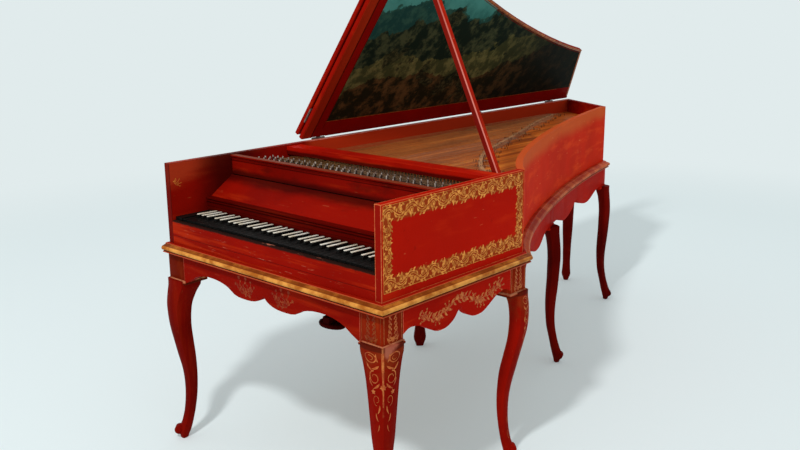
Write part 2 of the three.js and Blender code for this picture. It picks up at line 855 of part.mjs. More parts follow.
// Stand. The moulding runs round the front, the cheek, the bentside and the tail. Along the spine it is cut flush
// with the spine's apron.
function standMoulding() {
  const shape = new THREE.Shape(planOutline(mouldingNose - mouldingRound));
  shape.holes.push(new THREE.Path(planOutline(-mouldingInset).reverse()));
  const ring = new THREE.ExtrudeGeometry(shape, {
    depth: mouldingHeight - 2 * mouldingRound,
    bevelThickness: mouldingRound,
    bevelSize: mouldingRound,
    bevelSegments: 3,
  }).translate(0, 0, mouldingBottom + mouldingRound);
  const beyond = 2 * mouldingNose;
  const spineSide = block(
    -beyond, -standProud, -beyond, spineLength + beyond, mouldingBottom - overrun, mouldingTop + overrun,
  );
  return piece('stand_moulding', cut(ring, [spineSide]), gilding());
}

// A board in x and z about x = 0, hanging from z = 0, with a cusp in the middle of its lower edge
function scalloped(halfSpan, drop, shares) {
  const right = new THREE.SplineCurve(vectors(shares.map(([s, d]) => [s * halfSpan, -d * drop])));
  const edge = right.getPoints(scallopSteps);
  const mirror = edge.slice(1).map((point) => new THREE.Vector2(-point.x, point.y)).reverse();
  const top = [new THREE.Vector2(halfSpan, 0), new THREE.Vector2(-halfSpan, 0)];
  return new THREE.Shape([...mirror, ...edge, ...top]);
}

function apron(name, board, legs) {
  return piece(name, cut(board, legs.map(blockRoom)), lacquer());
}

function frontApron(legs) {
  const left = blockWidth - standProud + seat;
  const right = caseWidth - left;
  const shape = scalloped((right - left) / 2, frontApronDrop, frontScallopShares);
  const board = acrossY(shape, apronThickness - standProud, apronThickness);
  return apron('front_apron', board.translate((left + right) / 2, 0, standTop), legs);
}

function cheekApron(legs) {
  const front = blockWidth - standProud + seat;
  const back = cheekLength - cheekLegInset - blockWidth / 2 - seat;
  const shape = scalloped((back - front) / 2, sideApronDrop, sideScallopShares);
  const board = acrossY(shape, 0, apronThickness).rotateZ(Math.PI / 2);
  board.translate(caseWidth + standProud - apronThickness, (front + back) / 2, standTop);
  return apron('cheek_apron', board, legs);
}

// A board that follows the bentside from one share of the curve to another, scalloped between
function bentApron(name, from, to, legs) {
  const outer = [];
  const inner = [];
  for (let i = 0; i <= bentsideSteps / 2; i += 1) {
    const share = from + (to - from) * i / (bentsideSteps / 2);
    const point = bentside.getPoint(share);
    const side = outward(bentside.getTangent(share));
    outer.push(point.clone().addScaledVector(side, standProud));
    inner.push(point.clone().addScaledVector(side, standProud - apronThickness));
  }
  const board = raised([...outer, ...inner.reverse()], standTop - bentApronDrop - overrun, standTop);
  const chord = outer[outer.length - 1].clone().sub(outer[0]);
  const middle = outer[0].clone().addScaledVector(chord, 1 / 2);
  const reach = chord.length() / 2;
  const plate = acrossY(scalloped(reach, bentApronDrop, bentScallopShares), reach, 2 * reach);
  plate.rotateZ(Math.atan2(chord.y, chord.x)).translate(middle.x, middle.y, standTop);
  return apron(name, common(board, plate), legs);
}

function tailApron(legs) {
  const normal = outward(alongTail);
  const near = tailRight.clone().addScaledVector(normal, standProud);
  const far = legs[1].centre.clone().addScaledVector(normal, blockWidth / 2);
  const back = normal.clone().multiplyScalar(-apronThickness);
  const outline = [near, far, far.clone().add(back), near.clone().add(back)];
  const board = raised(outline, standTop - tailApronDrop, standTop);
  return apron('tail_apron', board, legs);
}

function spineApron(legs) {
  const front = blockWidth - standProud + seat;
  const board = block(
    -standProud, apronThickness - standProud, front, legs[1].centre.y, standTop - spineApronDrop, standTop,
  );
  return apron('spine_apron', board, legs);
}

// Places of the legs: the middle of the block, the way the foot points and the way the block faces
function legPlaces() {
  const inset = blockWidth / 2 - standProud;
  const bent = bentside.getPoint(bentsideLegShare);
  const bentSide = outward(bentside.getTangent(bentsideLegShare));
  const endSide = outward(bentside.getTangent(1));
  const tailSide = outward(alongTail);
  const diagonal = (x, y) => new THREE.Vector2(x, y).normalize();
  return {
    frontLeft: { centre: new THREE.Vector2(inset, inset), foot: diagonal(-1, -1), face: diagonal(-1, 0) },
    frontRight: {
      centre: new THREE.Vector2(caseWidth - inset, inset), foot: diagonal(1, -1), face: diagonal(1, 0),
    },
    cheek: {
      centre: new THREE.Vector2(caseWidth - inset, cheekLength - cheekLegInset),
      foot: diagonal(1, 1),
      face: diagonal(1, 0),
    },
    bentside: { centre: bent.clone().addScaledVector(bentSide, -inset), foot: bentSide, face: bentSide },
    tailRight: {
      centre: mitred(tailRight, bentside.getTangent(1), alongTail, -inset),
      foot: endSide.clone().add(tailSide).normalize(),
      face: endSide,
    },
    tailLeft: {
      centre: tailLeft.clone().addScaledVector(alongTail, -tailLegAlong).addScaledVector(tailSide, -inset),
      foot: outward(alongSpine).add(tailSide).normalize(),
      face: tailSide,
    },
    spine: {
      centre: new THREE.Vector2(apronThickness + seat + inset, spineLegY),
      foot: diagonal(-1, 0),
      face: diagonal(-1, 0),
    },
  };
}

function turnedBox(place, half, z0, z1) {
  const box = block(-half, half, -half, half, z0, z1);
  return box.rotateZ(place.face.angle()).translate(place.centre.x, place.centre.y, 0);
}

// The room that a leg's block takes from the boards beside it
function blockRoom(place) {
  const half = blockWidth / 2 + seat;
  const bottom = standTop - blockHeight;
  return joined([
    turnedBox(place, half, bottom - seat, standTop + overrun),
    turnedBox(place, half + collarProud, bottom - seat, bottom + collarHeight + seat),
  ]);
}

// The curved shaft below the block: a many-sided bar whose rings follow the stations
function legShaft(shares) {
  const stations = [[1 + legOverlap / legHeight, shares[0][1], shares[0][2]], ...shares];
  const shaft = new THREE.CylinderGeometry(1, 1, 1, legSides, stations.length - 1);
  const position = shaft.attributes.position;
  for (let i = 0; i < position.count; i += 1) {
    const level = Math.round((1 / 2 - position.getY(i)) * (stations.length - 1));
    const [high, outer, inner] = stations[level];
    const half = legReach * (outer - inner) / 2;
    const middle = legReach * (outer + inner) / 2;
    const across = position.getX(i);
    const along = position.getZ(i);
    const flat = Math.abs(across) > weld && Math.abs(along) > weld ? legFlatShare : 1;
    position.setXYZ(i, middle + half * flat * along, half * legBreadthShare * flat * across, high * legHeight);
  }
  return shaft;
}

function toe(reach) {
  return barAlongY(toeRadius, reach, toeHeight, -toeLength / 2, toeLength / 2);
}

function leg(name, place, lower) {
  const bottom = standTop - blockHeight;
  const half = blockWidth / 2;
  const parts = lower.map((part) => (
    part.rotateZ(place.foot.angle()).translate(place.centre.x, place.centre.y, 0)
  ));
  parts.push(turnedBox(place, half, bottom, standTop));
  parts.push(turnedBox(place, half + collarProud, bottom, bottom + collarHeight));
  return piece(name, joined(parts), lacquer());
}

// Hinges: one leaf about a barrel along y, fixed to a face on the +x side and reaching along +z
function hingeLeaf(knuckle, near, reach, ownsEnds) {
  const third = hingeLength / 3;
  const half = hingeLength / 2;
  const far = near + leafThickness;
  const clear = knuckle + seat;
  const parts = [block(near, far, -half, half, clear, reach)];
  const spans = ownsEnds ? [[-half, -half + third], [half - third, half]] : [[-third / 2, third / 2]];
  for (const [y0, y1] of spans) {
    const end = ownsEnds ? 0 : seat;
    parts.push(block(near, far, y0 + end, y1 - end, 0, clear + overrun));
    parts.push(barAlongY(knuckle, 0, 0, y0 + end, y1 - end));
  }
  if (ownsEnds) {
    parts.push(barAlongY(hingePin, 0, 0, -half, half));
    return joined(parts);
  }
  const bore = barAlongY(hingePin + seat, 0, 0, -third, third);
  return cut(joined(parts), [bore]);
}

function spineHinges() {
  return lidHingePlaces.map((y, i) => {
    const leaf = hingeLeaf(lidKnuckle, lidAxisOut - seat - leafThickness, hingeReach, true);
    const hinge = piece(`spine_hinge_leaf_${i + 1}`, leaf, iron());
    hinge.rotation.x = Math.PI;
    hinge.position.set(-lidAxisOut, y, lidAxisZ);
    return hinge;
  });
}

function lidHinges() {
  return lidHingePlaces.map((y, i) => {
    const leaf = hingeLeaf(lidKnuckle, lidAxisOut - seat - leafThickness, lidHingeReach, false);
    const hinge = piece(`lid_hinge_leaf_${i + 1}`, leaf, iron());
    hinge.position.y = y;
    return hinge;
  });
}

// Turns a leaf so that its barrel lies along x and it reaches backward or forward on a flat top
function laidLeaf(name, x, ownsEnds) {
  const way = ownsEnds ? 1 : -1;
  const near = flapAxisLift - seat - leafThickness;
  const turn = new THREE.Matrix4().makeBasis(
    new THREE.Vector3(0, 0, -1), new THREE.Vector3(-way, 0, 0), new THREE.Vector3(0, way, 0),
  );
  const leaf = hingeLeaf(flapKnuckle, near, hingeReach, ownsEnds).applyMatrix4(turn);
  return piece(name, leaf.translate(x, 0, 0), iron());
}

// Lid, drawn closed and measured from the hinge line
function chamferedBoard(outline) {
  const options = {
    depth: lidThickness - 2 * lidChamfer,
    bevelThickness: lidChamfer,
    bevelSize: lidChamfer,
    bevelOffset: -lidChamfer,
    bevelSegments: 1,
  };
  return new THREE.ExtrudeGeometry(new THREE.Shape(outline), options).translate(0, 0, lidChamfer);
}

function mainLid() {
  const right = caseWidth - lidInset;
  const run = bentsideRun(-lidInset);
  const end = run[run.length - 1];
  const corner = end.clone().addScaledVector(alongTail, -end.x / alongTail.x);
  const outline = [
    new THREE.Vector2(0, lidFront), new THREE.Vector2(right, lidFront), ...run, corner,
  ];
  return piece('lid', chamferedBoard(outline).translate(lidAxisOut, 0, 0), lacquer());
}

function lidFlap() {
  const right = caseWidth - lidInset + lidAxisOut;
  const outline = vectors([
    [lidAxisOut, -lidFront], [right, -lidFront], [right, -2 * seat], [lidAxisOut, -2 * seat],
  ]);
  const board = chamferedBoard(outline).translate(0, 0, -lidThickness - flapAxisLift);
  return piece('lid_flap', board, lacquer());
}

function pegCentre() {
  const open = THREE.MathUtils.degToRad(lidAngle);
  const peg = new THREE.Vector2(pegReach, -pegDrop).rotateAround(new THREE.Vector2(), open);
  return peg.add(new THREE.Vector2(-lidAxisOut, lidAxisZ));
}

function propPeg() {
  const plate = block(
    pegReach - pegPlateWidth / 2, pegReach + pegPlateWidth / 2, lidFront + overrun,
    lidFront + overrun + pegPlateLength, -seat - pegPlateThickness, -seat,
  );
  const front = propBack - propWidth;
  const peg = barAlongY(pegRadius, pegReach, -pegDrop, front, lidFront + overrun + pegPlateLength);
  return piece('prop_peg', joined([plate, peg]), iron());
}

// The prop leans from its foot to the peg. Its head is cut so that the peg can slide off it.
function prop() {
  const foot = new THREE.Vector2(propFootX, propFootZ);
  const slope = THREE.MathUtils.degToRad(propFaceSlope);
  const face = new THREE.Vector2(Math.cos(slope), -Math.sin(slope));
  const under = new THREE.Vector2(-Math.sin(slope), -Math.cos(slope));
  const head = pegCentre().addScaledVector(under, pegRadius + rest).addScaledVector(face, propHeadShift);
  const axis = head.clone().sub(foot);
  const lean = Math.atan2(-axis.x, axis.y);
  const half = propWidth / 2;
  const slant = half * Math.tan(lean + slope);
  const shape = new THREE.Shape();
  shape.moveTo(half, axis.length() - slant);
  shape.lineTo(-half, axis.length() + slant);
  shape.lineTo(-half, 0);
  shape.absarc(0, 0, half, Math.PI, 2 * Math.PI, false);
  const hole = new THREE.Path();
  hole.absarc(0, 0, propPin + rest, 0, 2 * Math.PI, true);
  shape.holes.push(hole);
  const stick = piece('prop', acrossY(shape, 0, propWidth), lacquer());
  stick.rotation.y = -lean;
  stick.position.set(propFootX, propBack, propFootZ);
  return stick;
}

function propBracket() {
  const y0 = propBack + rest;
  const half = propFootRadius;
  const parts = [
    block(
      propFootX - propBlockWidth, innerRight, y0, y0 + propBlockDepth,
      propFootZ - propBlockDrop, propFootZ + half,
    ),
    barAlongY(propPin, propFootX, propFootZ, propBack - propWidth - overrun, y0 + overrun),
  ];
  return piece('prop_bracket', joined(parts), iron());
}

// Assembly
function caseGroup() {
  const group = new THREE.Group();
  group.add(spine(), cheek(), bentsideWall(), tail(), bottomBoard(), keyslip());
  group.add(keyBlock('key_block_bass', innerLeft, keysLeft - keyGap));
  group.add(keyBlock('key_block_treble', caseWidth - keysLeft + keyGap, innerRight));
  group.add(lowerNameboard(), slopingBoard(), upperNameboard(), wrestPlank(), nut(), bellyRail());
  group.add(soundboard(), bridge(), jackRail(), propBracket(), prop(), ...spineHinges());
  return group;
}

function actionGroup() {
  const group = new THREE.Group();
  const row = keyRow();
  const first = row.findIndex((key) => key.place === bassNaturalCount);
  const middle = row.slice(first, first + 3);
  const names = ['c1', 'c_sharp_1', 'd1'];
  group.add(keyFrame(), damperRail(row), kneeLever(), kneeLeverBracket());
  group.add(joinedKeys('keys_bass', row.slice(0, first)));
  group.add(joinedKeys('keys_treble', row.slice(first + middle.length)));
  group.add(joinedHammers('hammers_bass', row.slice(0, first)));
  group.add(joinedHammers('hammers_treble', row.slice(first + middle.length)));
  middle.forEach((key, i) => {
    group.add(piece(`key_${names[i]}`, keyGeometry(key), ebony()));
    group.add(piece(`hammer_${names[i]}`, hammer(key.x), leatheredWood()));
  });
  return group;
}

function standGroup() {
  const group = new THREE.Group();
  const legs = legPlaces();
  group.add(standMoulding(), frontApron([legs.frontLeft, legs.frontRight]));
  group.add(cheekApron([legs.frontRight, legs.cheek]));
  group.add(bentApron('bentside_apron_front', 0, bentsideLegShare, [legs.cheek, legs.bentside]));
  group.add(bentApron('bentside_apron_rear', bentsideLegShare, 1, [legs.bentside, legs.tailRight]));
  group.add(tailApron([legs.tailRight, legs.tailLeft]));
  group.add(spineApron([legs.frontLeft, legs.tailLeft, legs.spine]));
  for (const [name, place, shares, reach] of [
    ['leg_front_left', legs.frontLeft, frontLegShares, frontToeReach],
    ['leg_front_right', legs.frontRight, frontLegShares, frontToeReach],
    ['leg_cheek', legs.cheek, cheekLegShares, cheekToeReach],
    ['leg_bentside', legs.bentside, rearLegShares, rearToeReach],
    ['leg_tail_right', legs.tailRight, rearLegShares, rearToeReach],
    ['leg_tail_left', legs.tailLeft, rearLegShares, rearToeReach],
  ]) {
    group.add(leg(name, place, [legShaft(shares), toe(reach)]));
  }
  group.add(leg('leg_spine', legs.spine, [legShaft(spineLegShares)]));
  return group;
}

function flapGroup() {
  const group = new THREE.Group();
  group.add(lidFlap());
  flapHingePlaces.forEach((x, i) => group.add(laidLeaf(`flap_hinge_leaf_${i + 1}`, x, false)));
  group.position.set(0, lidFront - seat, lidThickness + flapAxisLift);
  group.rotation.x = Math.PI;
  return group;
}

function lidGroup() {
  const group = new THREE.Group();
  group.add(mainLid(), propPeg(), ...lidHinges(), flapGroup());
  flapHingePlaces.forEach((x, i) => {
    const leaf = laidLeaf(`lid_back_leaf_${i + 1}`, x, true);
    leaf.position.set(0, lidFront - seat, lidThickness + flapAxisLift);
    group.add(leaf);
  });
  group.position.set(-lidAxisOut, 0, lidAxisZ);
  group.rotation.y = -THREE.MathUtils.degToRad(lidAngle);
  return group;
}

// The origin is on the floor, under the middle of the whole instrument
const fortepiano = new THREE.Group();
fortepiano.add(standGroup(), caseGroup(), actionGroup(), lidGroup());
const bounds = new THREE.Box3().setFromObject(fortepiano, true);
const middle = bounds.getCenter(new THREE.Vector3());
fortepiano.position.set(-middle.x, -middle.y, -bounds.min.z);

export default fortepiano;
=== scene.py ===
"""Looks of the fortepiano: a lacquered and gilded early grand piano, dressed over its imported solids."""

import json
import logging
import math
import random
from dataclasses import dataclass, field
from enum import Enum
from typing import Callable, Iterable, Sequence

import bmesh
import bpy
import numpy as np
from bmesh.types import BMEdge, BMesh, BMVert
from bpy.types import Material, NodeSocket
from mathutils import Matrix, Vector


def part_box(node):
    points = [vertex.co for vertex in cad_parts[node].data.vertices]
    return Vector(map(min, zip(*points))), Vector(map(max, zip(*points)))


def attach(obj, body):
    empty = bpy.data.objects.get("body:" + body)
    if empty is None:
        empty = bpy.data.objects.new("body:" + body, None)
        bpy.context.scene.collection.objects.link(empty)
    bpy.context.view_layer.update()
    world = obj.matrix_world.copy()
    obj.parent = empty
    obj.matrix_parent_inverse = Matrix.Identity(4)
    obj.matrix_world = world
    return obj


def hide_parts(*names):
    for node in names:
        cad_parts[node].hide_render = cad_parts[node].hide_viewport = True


Triple = tuple[float, float, float]
LOG = logging.getLogger("fortepiano")
MM = 0.001
SHEEN = 0.008  # how strongly the old lacquer mirrors

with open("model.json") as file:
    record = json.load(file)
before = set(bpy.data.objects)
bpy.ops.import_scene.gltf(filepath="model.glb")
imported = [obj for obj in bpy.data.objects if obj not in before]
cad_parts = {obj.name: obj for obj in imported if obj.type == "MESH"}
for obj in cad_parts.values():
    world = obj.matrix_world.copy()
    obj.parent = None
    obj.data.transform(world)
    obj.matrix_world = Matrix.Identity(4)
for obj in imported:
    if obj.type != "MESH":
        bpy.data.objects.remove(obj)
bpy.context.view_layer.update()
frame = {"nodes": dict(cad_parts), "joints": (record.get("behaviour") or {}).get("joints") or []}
CORNER = Vector((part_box("spine")[0].x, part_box("spine")[0].y, 0.0))


class Body(Enum):
    """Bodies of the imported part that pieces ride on."""

    CASE = "case"
    LID = "lid"
    FLAP = "flap"
    PROP = "prop"
    KNEE = "knee_lever"
    DAMPERS = "dampers"
    KEYS_BASS = "keys_bass"
    KEYS_TREBLE = "keys_treble"
    HAMMERS_BASS = "hammers_bass"
    HAMMERS_TREBLE = "hammers_treble"


def place(x: float, y: float, z: float) -> Vector:
    """Turns millimetres from the case's front left corner on the floor into the row frame.

    Args:
        x: distance from the spine's outer face towards the cheek.
        y: distance from the front towards the tail.
        z: height above the floor.

    Returns:
        The point in metres.
    """
    return CORNER + Vector((x, y, z)) * MM


def method(operation: str, turned: bool = False) -> Callable[["Value", "float | Value"], "Value"]:
    """Makes a method of Value that adds one Math node.

    Args:
        operation: the node's operation.
        turned: whether the other operand comes first, as in a reflected operator.

    Returns:
        The method.
    """

    def combine(value: "Value", other: "float | Value") -> "Value":
        """Combines the value with another operand."""
        return value.math(operation, *((other, value) if turned else (value, other)))

    return combine


class Value:
    """A socket that Python's operators combine into Math nodes."""

    def __init__(self, tree: "Tree", socket: NodeSocket) -> None:
        """Wraps a socket of a node tree."""
        self.tree = tree
        self.socket = socket

    def math(self, operation: str, *operands: "float | Value") -> "Value":
        """Adds one Math node."""
        node = self.tree.node("ShaderNodeMath", {"operation": operation}, dict(enumerate(operands)))
        return Value(self.tree, node.outputs[0])

    __add__ = method("ADD")
    __radd__ = method("ADD", turned=True)
    __sub__ = method("SUBTRACT")
    __rsub__ = method("SUBTRACT", turned=True)
    __mul__ = method("MULTIPLY")
    __rmul__ = method("MULTIPLY", turned=True)
    __truediv__ = method("DIVIDE")
    lower = method("MINIMUM")
    higher = method("MAXIMUM")

    def __abs__(self) -> "Value":
        """Absolute value."""
        return self.math("ABSOLUTE", self)

    def wave(self, length: float) -> "Value":
        """Sine of the value, with the given wave length."""
        return self.math("SINE", self * (2 * math.pi / length))

    def root(self) -> "Value":
        """Square root."""
        return self.math("SQRT", self)

    def over(self, low: float, high: float) -> "Value":
        """Smooth step that is 0 below low and 1 above high, or the other way round if high is lower."""
        settings = {"interpolation_type": "SMOOTHSTEP"}
        start, end = min(low, high), max(low, high)
        first, last = (0.0, 1.0) if high > low else (1.0, 0.0)
        links = {"Value": self, "From Min": start, "From Max": end, "To Min": first, "To Max": last}
        return Value(self.tree, self.tree.node("ShaderNodeMapRange", settings, links).outputs[0])


class Tree:
    """A tree of shader nodes that grows by one node a call."""

    def __init__(self, tree: bpy.types.NodeTree) -> None:
        """Wraps a node tree."""
        self.tree = tree

    def feed(self, value: object, target: NodeSocket) -> None:
        """Links a socket or a Value to an input, or sets the input to a constant."""
        source = value.socket if isinstance(value, Value) else value
        if isinstance(source, NodeSocket):
            self.tree.links.new(source, target)
        else:
            target.default_value = source

    def node(self, kind: str, settings: dict, links: dict) -> bpy.types.Node:
        """Adds a node.

        Args:
            kind: the node's type.
            settings: its properties, set before its sockets; a ramp's stops are under "stops".
            links: values, Values or sockets by the name or place of the input.

        Returns:
            The new node.
        """
        node = self.tree.nodes.new(kind)
        for key, value in settings.items():
            if key == "stops":
                self._stops(node.color_ramp, value)
            else:
                setattr(node, key, value)
        for key, value in links.items():
            self.feed(value, node.inputs[key])
        return node

    def mix(self, share: Value, first: bpy.types.Node, second: bpy.types.Node, output: str) -> None:
        """Sends two shaders, mixed by a share of the second, to the tree's output of that name."""
        mixed = self.node("ShaderNodeMixShader", {}, {0: share, 1: first.outputs[0], 2: second.outputs[0]})
        self.feed(mixed.outputs[0], self.tree.nodes[output].inputs["Surface"])

    @staticmethod
    def _stops(ramp: bpy.types.ColorRamp, stops: Sequence[tuple[float, Sequence[float]]]) -> None:
        """Sets the stops of a colour ramp."""
        while len(ramp.elements) < len(stops):
            ramp.elements.new(1.0)
        for element, (where, colour) in zip(ramp.elements, stops):
            element.position = where
            element.color = (*colour, 1.0)


class Shader(Tree):
    """Builds one procedural material around a Principled shader."""

    def __init__(self, name: str) -> None:
        """Starts a material of that name."""
        self.material = bpy.data.materials.new(name)
        self.material.use_nodes = True
        super().__init__(self.material.node_tree)
        self.surface = self.tree.nodes["Principled BSDF"]
        self.position = self.node("ShaderNodeTexCoord", {}, {}).outputs["Object"]

    def along(self, direction: Sequence[float], origin: Sequence[float] = (0, 0, 0)) -> Value:
        """Distance of the surface point from an origin along a direction."""
        kind = "ShaderNodeVectorMath"
        moved = self.node(kind, {"operation": "SUBTRACT"}, {0: self.position, 1: tuple(origin)})
        dot = self.node(kind, {"operation": "DOT_PRODUCT"}, {0: moved.outputs[0], 1: tuple(direction)})
        return Value(self, dot.outputs["Value"])

    def stretched(self, scale: Sequence[float]) -> NodeSocket:
        """Position with each axis scaled."""
        links = {0: self.position, 1: tuple(scale)}
        return self.node("ShaderNodeVectorMath", {"operation": "MULTIPLY"}, links).outputs[0]

    def noise(
        self, scale: float, detail: float = 4.0, rough: float = 0.55, stretch: Sequence[float] | None = None
    ) -> Value:
        """Fractal noise from 0 to 1."""
        vector = self.position if stretch is None else self.stretched(stretch)
        links = {"Vector": vector, "Scale": scale, "Detail": detail, "Roughness": rough}
        return Value(self, self.node("ShaderNodeTexNoise", {}, links).outputs[0])

    def cells(self, scale: float) -> Value:
        """Distance from the edges of Voronoi cells."""
        links = {"Vector": self.position, "Scale": scale}
        node = self.node("ShaderNodeTexVoronoi", {"feature": "DISTANCE_TO_EDGE"}, links)
        return Value(self, node.outputs["Distance"])

    def blend(self, mask: "float | Value", low: object, high: object) -> NodeSocket:
        """Mixes two colours by a mask."""
        links = {0: mask, 6: self._colour(low), 7: self._colour(high)}
        return self.node("ShaderNodeMix", {"data_type": "RGBA"}, links).outputs[2]

    def layers(self, colour: object, *coats: tuple["float | Value", object]) -> NodeSocket:
        """Lays colours over a first one, each by a mask of its own."""
        for mask, coat in coats:
            colour = self.blend(mask, colour, coat)
        return colour

    @staticmethod
    def _colour(value: object) -> object:
        """Gives a plain colour its alpha."""
        return (*value, 1.0) if isinstance(value, tuple) and len(value) == 3 else value

    def ramp(self, value: Value, stops: Sequence[tuple[float, Sequence[float]]]) -> NodeSocket:
        """Colours a value by a ramp."""
        return self.node("ShaderNodeValToRGB", {"stops": stops}, {0: value}).outputs[0]

    def bump(self, height: Value, distance: float, strength: float = 1.0) -> None:
        """Drives the shader's normal by a height in units of the distance."""
        links = {"Height": height, "Distance": distance, "Strength": strength}
        node = self.node("ShaderNodeBump", {}, links)
        self.feed(node.outputs[0], self.surface.inputs["Normal"])

    def connect(self, **inputs: object) -> Material:
        """Sets the Principled shader's inputs, named with underscores, and returns the material."""
        for key, value in inputs.items():
            socket = self.surface.inputs[key.replace("_", " ").title().replace("Ior", "IOR")]
            self.feed(self._colour(value), socket)
        return self.material

    def lacquered(self, colour: NodeSocket, roughness: "float | Value", cracked: bool = False) -> Material:
        """Finishes the material as lacquer whose film is uneven, and crazed if so told."""
        film = self.noise(60.0, 3.0)
        if cracked:
            film = self.cells(95.0).over(0.0, 0.05) * 0.5 + film
        self.bump(film, 0.00035, 0.35)
        return self.connect(base_color=colour, roughness=roughness, specular_ior_level=SHEEN)


@dataclass(frozen=True)
class Lacquer:
    """Vermilion lacquer over wood, smoky in places, crazed, with pinkish edges that are partly wear and partly
    a painted highlight.

    Attributes:
        name: the material's name.
        tone: the plain red.
        dark: the red where smoke and age darken it.
        bright: the orange of thin and rubbed places.
        light: factor on all three colours, which makes lit and shaded copies of one lacquer: painted light and
            shade for how brightly each piece is lit.
        warm: factor on their green and blue parts.
        streak: how the streaks are stretched along the axes.
        rubbed: how much of the orange shows, 0 to 1.
        smoke: how much of the dark red shows, 0 to 1.
        box: lowest and highest corner of a box whose edges are worn and carry a painted highlight, if any.
    """

    name: str = "lacquer"
    tone: Triple = (0.3, 0.005, 0.0012)
    dark: Triple = (0.12, 0.0016, 0.0008)
    bright: Triple = (0.46, 0.026, 0.004)
    light: float = 1.0
    warm: float = 1.0
    streak: Triple = (3.0, 30.0, 30.0)
    rubbed: float = 0.45
    smoke: float = 0.5
    box: tuple[Vector, Vector] | None = None

    def lit(self, colour: Sequence[float]) -> Triple:
        """Colour with the finish's own factors: its painted light and shade, and its warmth."""
        red, green, blue = (min(1.0, part * self.light) for part in colour)
        return red, green * self.warm, blue * self.warm

    def coat(self, shader: Shader) -> NodeSocket:
        """Colour of the lacquer: smoke, rubbed streaks, mottle and scratches on the plain red."""
        tone, dark, bright = (self.lit(part) for part in (self.tone, self.dark, self.bright))
        clouds = shader.noise(3.1, 6.0)
        streaks = shader.noise(1.0, 5.0, 0.6, self.streak)
        mottle = shader.noise(38.0, 5.0, 0.65)
        scratch = shader.noise(1.0, 2.0, 0.5, [part * 6 for part in self.streak])
        return shader.layers(
            tone,
            (clouds.over(0.62, 0.34) * self.smoke, dark),
            (streaks.over(0.5, 0.72) * self.rubbed, bright),
            (mottle.over(0.6, 0.75) * 0.35, dark),
            (scratch.over(0.7, 0.76) * mottle * 0.7, self.lit((0.55, 0.13, 0.05))),
        )

    def make(self) -> Material:
        """Builds the material."""
        shader = Shader(self.name)
        colour = self.coat(shader)
        if self.box is not None:
            # pinkish edges: partly wear, partly a painted highlight where the edges catch light
            colour = shader.blend(edge_wear_and_highlight(shader, self.box), colour, self.lit((0.62, 0.11, 0.06)))
        return shader.lacquered(colour, 0.36 + shader.noise(14.0, 4.0) * 0.24, cracked=True)


def edge_wear_and_highlight(shader: Shader, box: tuple[Vector, Vector]) -> Value:
    """Mask of the edges of a box, broken up as wear is; finishes paint wear and painted highlights on it.

    Args:
        shader: the shader that the mask belongs to.
        box: lowest and highest corner in the row frame.

    Returns:
        A value that is 1 on the edges that finishes paint as wear and as a highlight.
    """
    depths = []
    for axis in range(3):
        direction = [0.0, 0.0, 0.0]
        direction[axis] = 1.0
        where = shader.along(direction)
        depths.append((where - box[0][axis]).lower(box[1][axis] - where))
    nearest = depths[0] + depths[1] + depths[2] - depths[0].higher(depths[1]).higher(depths[2])
    ragged = nearest + shader.noise(45.0, 5.0, 0.7) * (4.5 * MM)
    return ragged.over(4.6 * MM, 2.0 * MM)


@dataclass(frozen=True)
class GoldLeaf:
    """Burnished leaf over red bole, rubbed through in places.

    Attributes:
        name: the material's name.
        gold: colour of the leaf.
        shade: colour in its darker places.
        bole: colour of the ground that shows through.
        rubbed: how much of the ground shows, 0 to 1.
    """

    name: str = "gold_leaf"
    gold: Triple = (0.88, 0.34, 0.06)
    shade: Triple = (0.46, 0.13, 0.015)
    bole: Triple = (0.3, 0.03, 0.012)
    rubbed: float = 0.5

    def make(self) -> Material:
        """Builds the material."""
        shader = Shader(self.name)
        patch = shader.noise(70.0, 5.0, 0.6)
        worn = shader.noise(190.0, 4.0, 0.7).over(0.56, 0.7)
        colour = shader.blend(patch.over(0.38, 0.66), self.shade, self.gold)
        colour = shader.blend(worn * self.rubbed, colour, self.bole)
        shader.bump(patch, 0.0003, 0.4)
        return shader.connect(
            base_color=colour, roughness=0.34 + worn * 0.2, metallic=0.3 - worn * 0.25,
            specular_ior_level=0.08,
        )


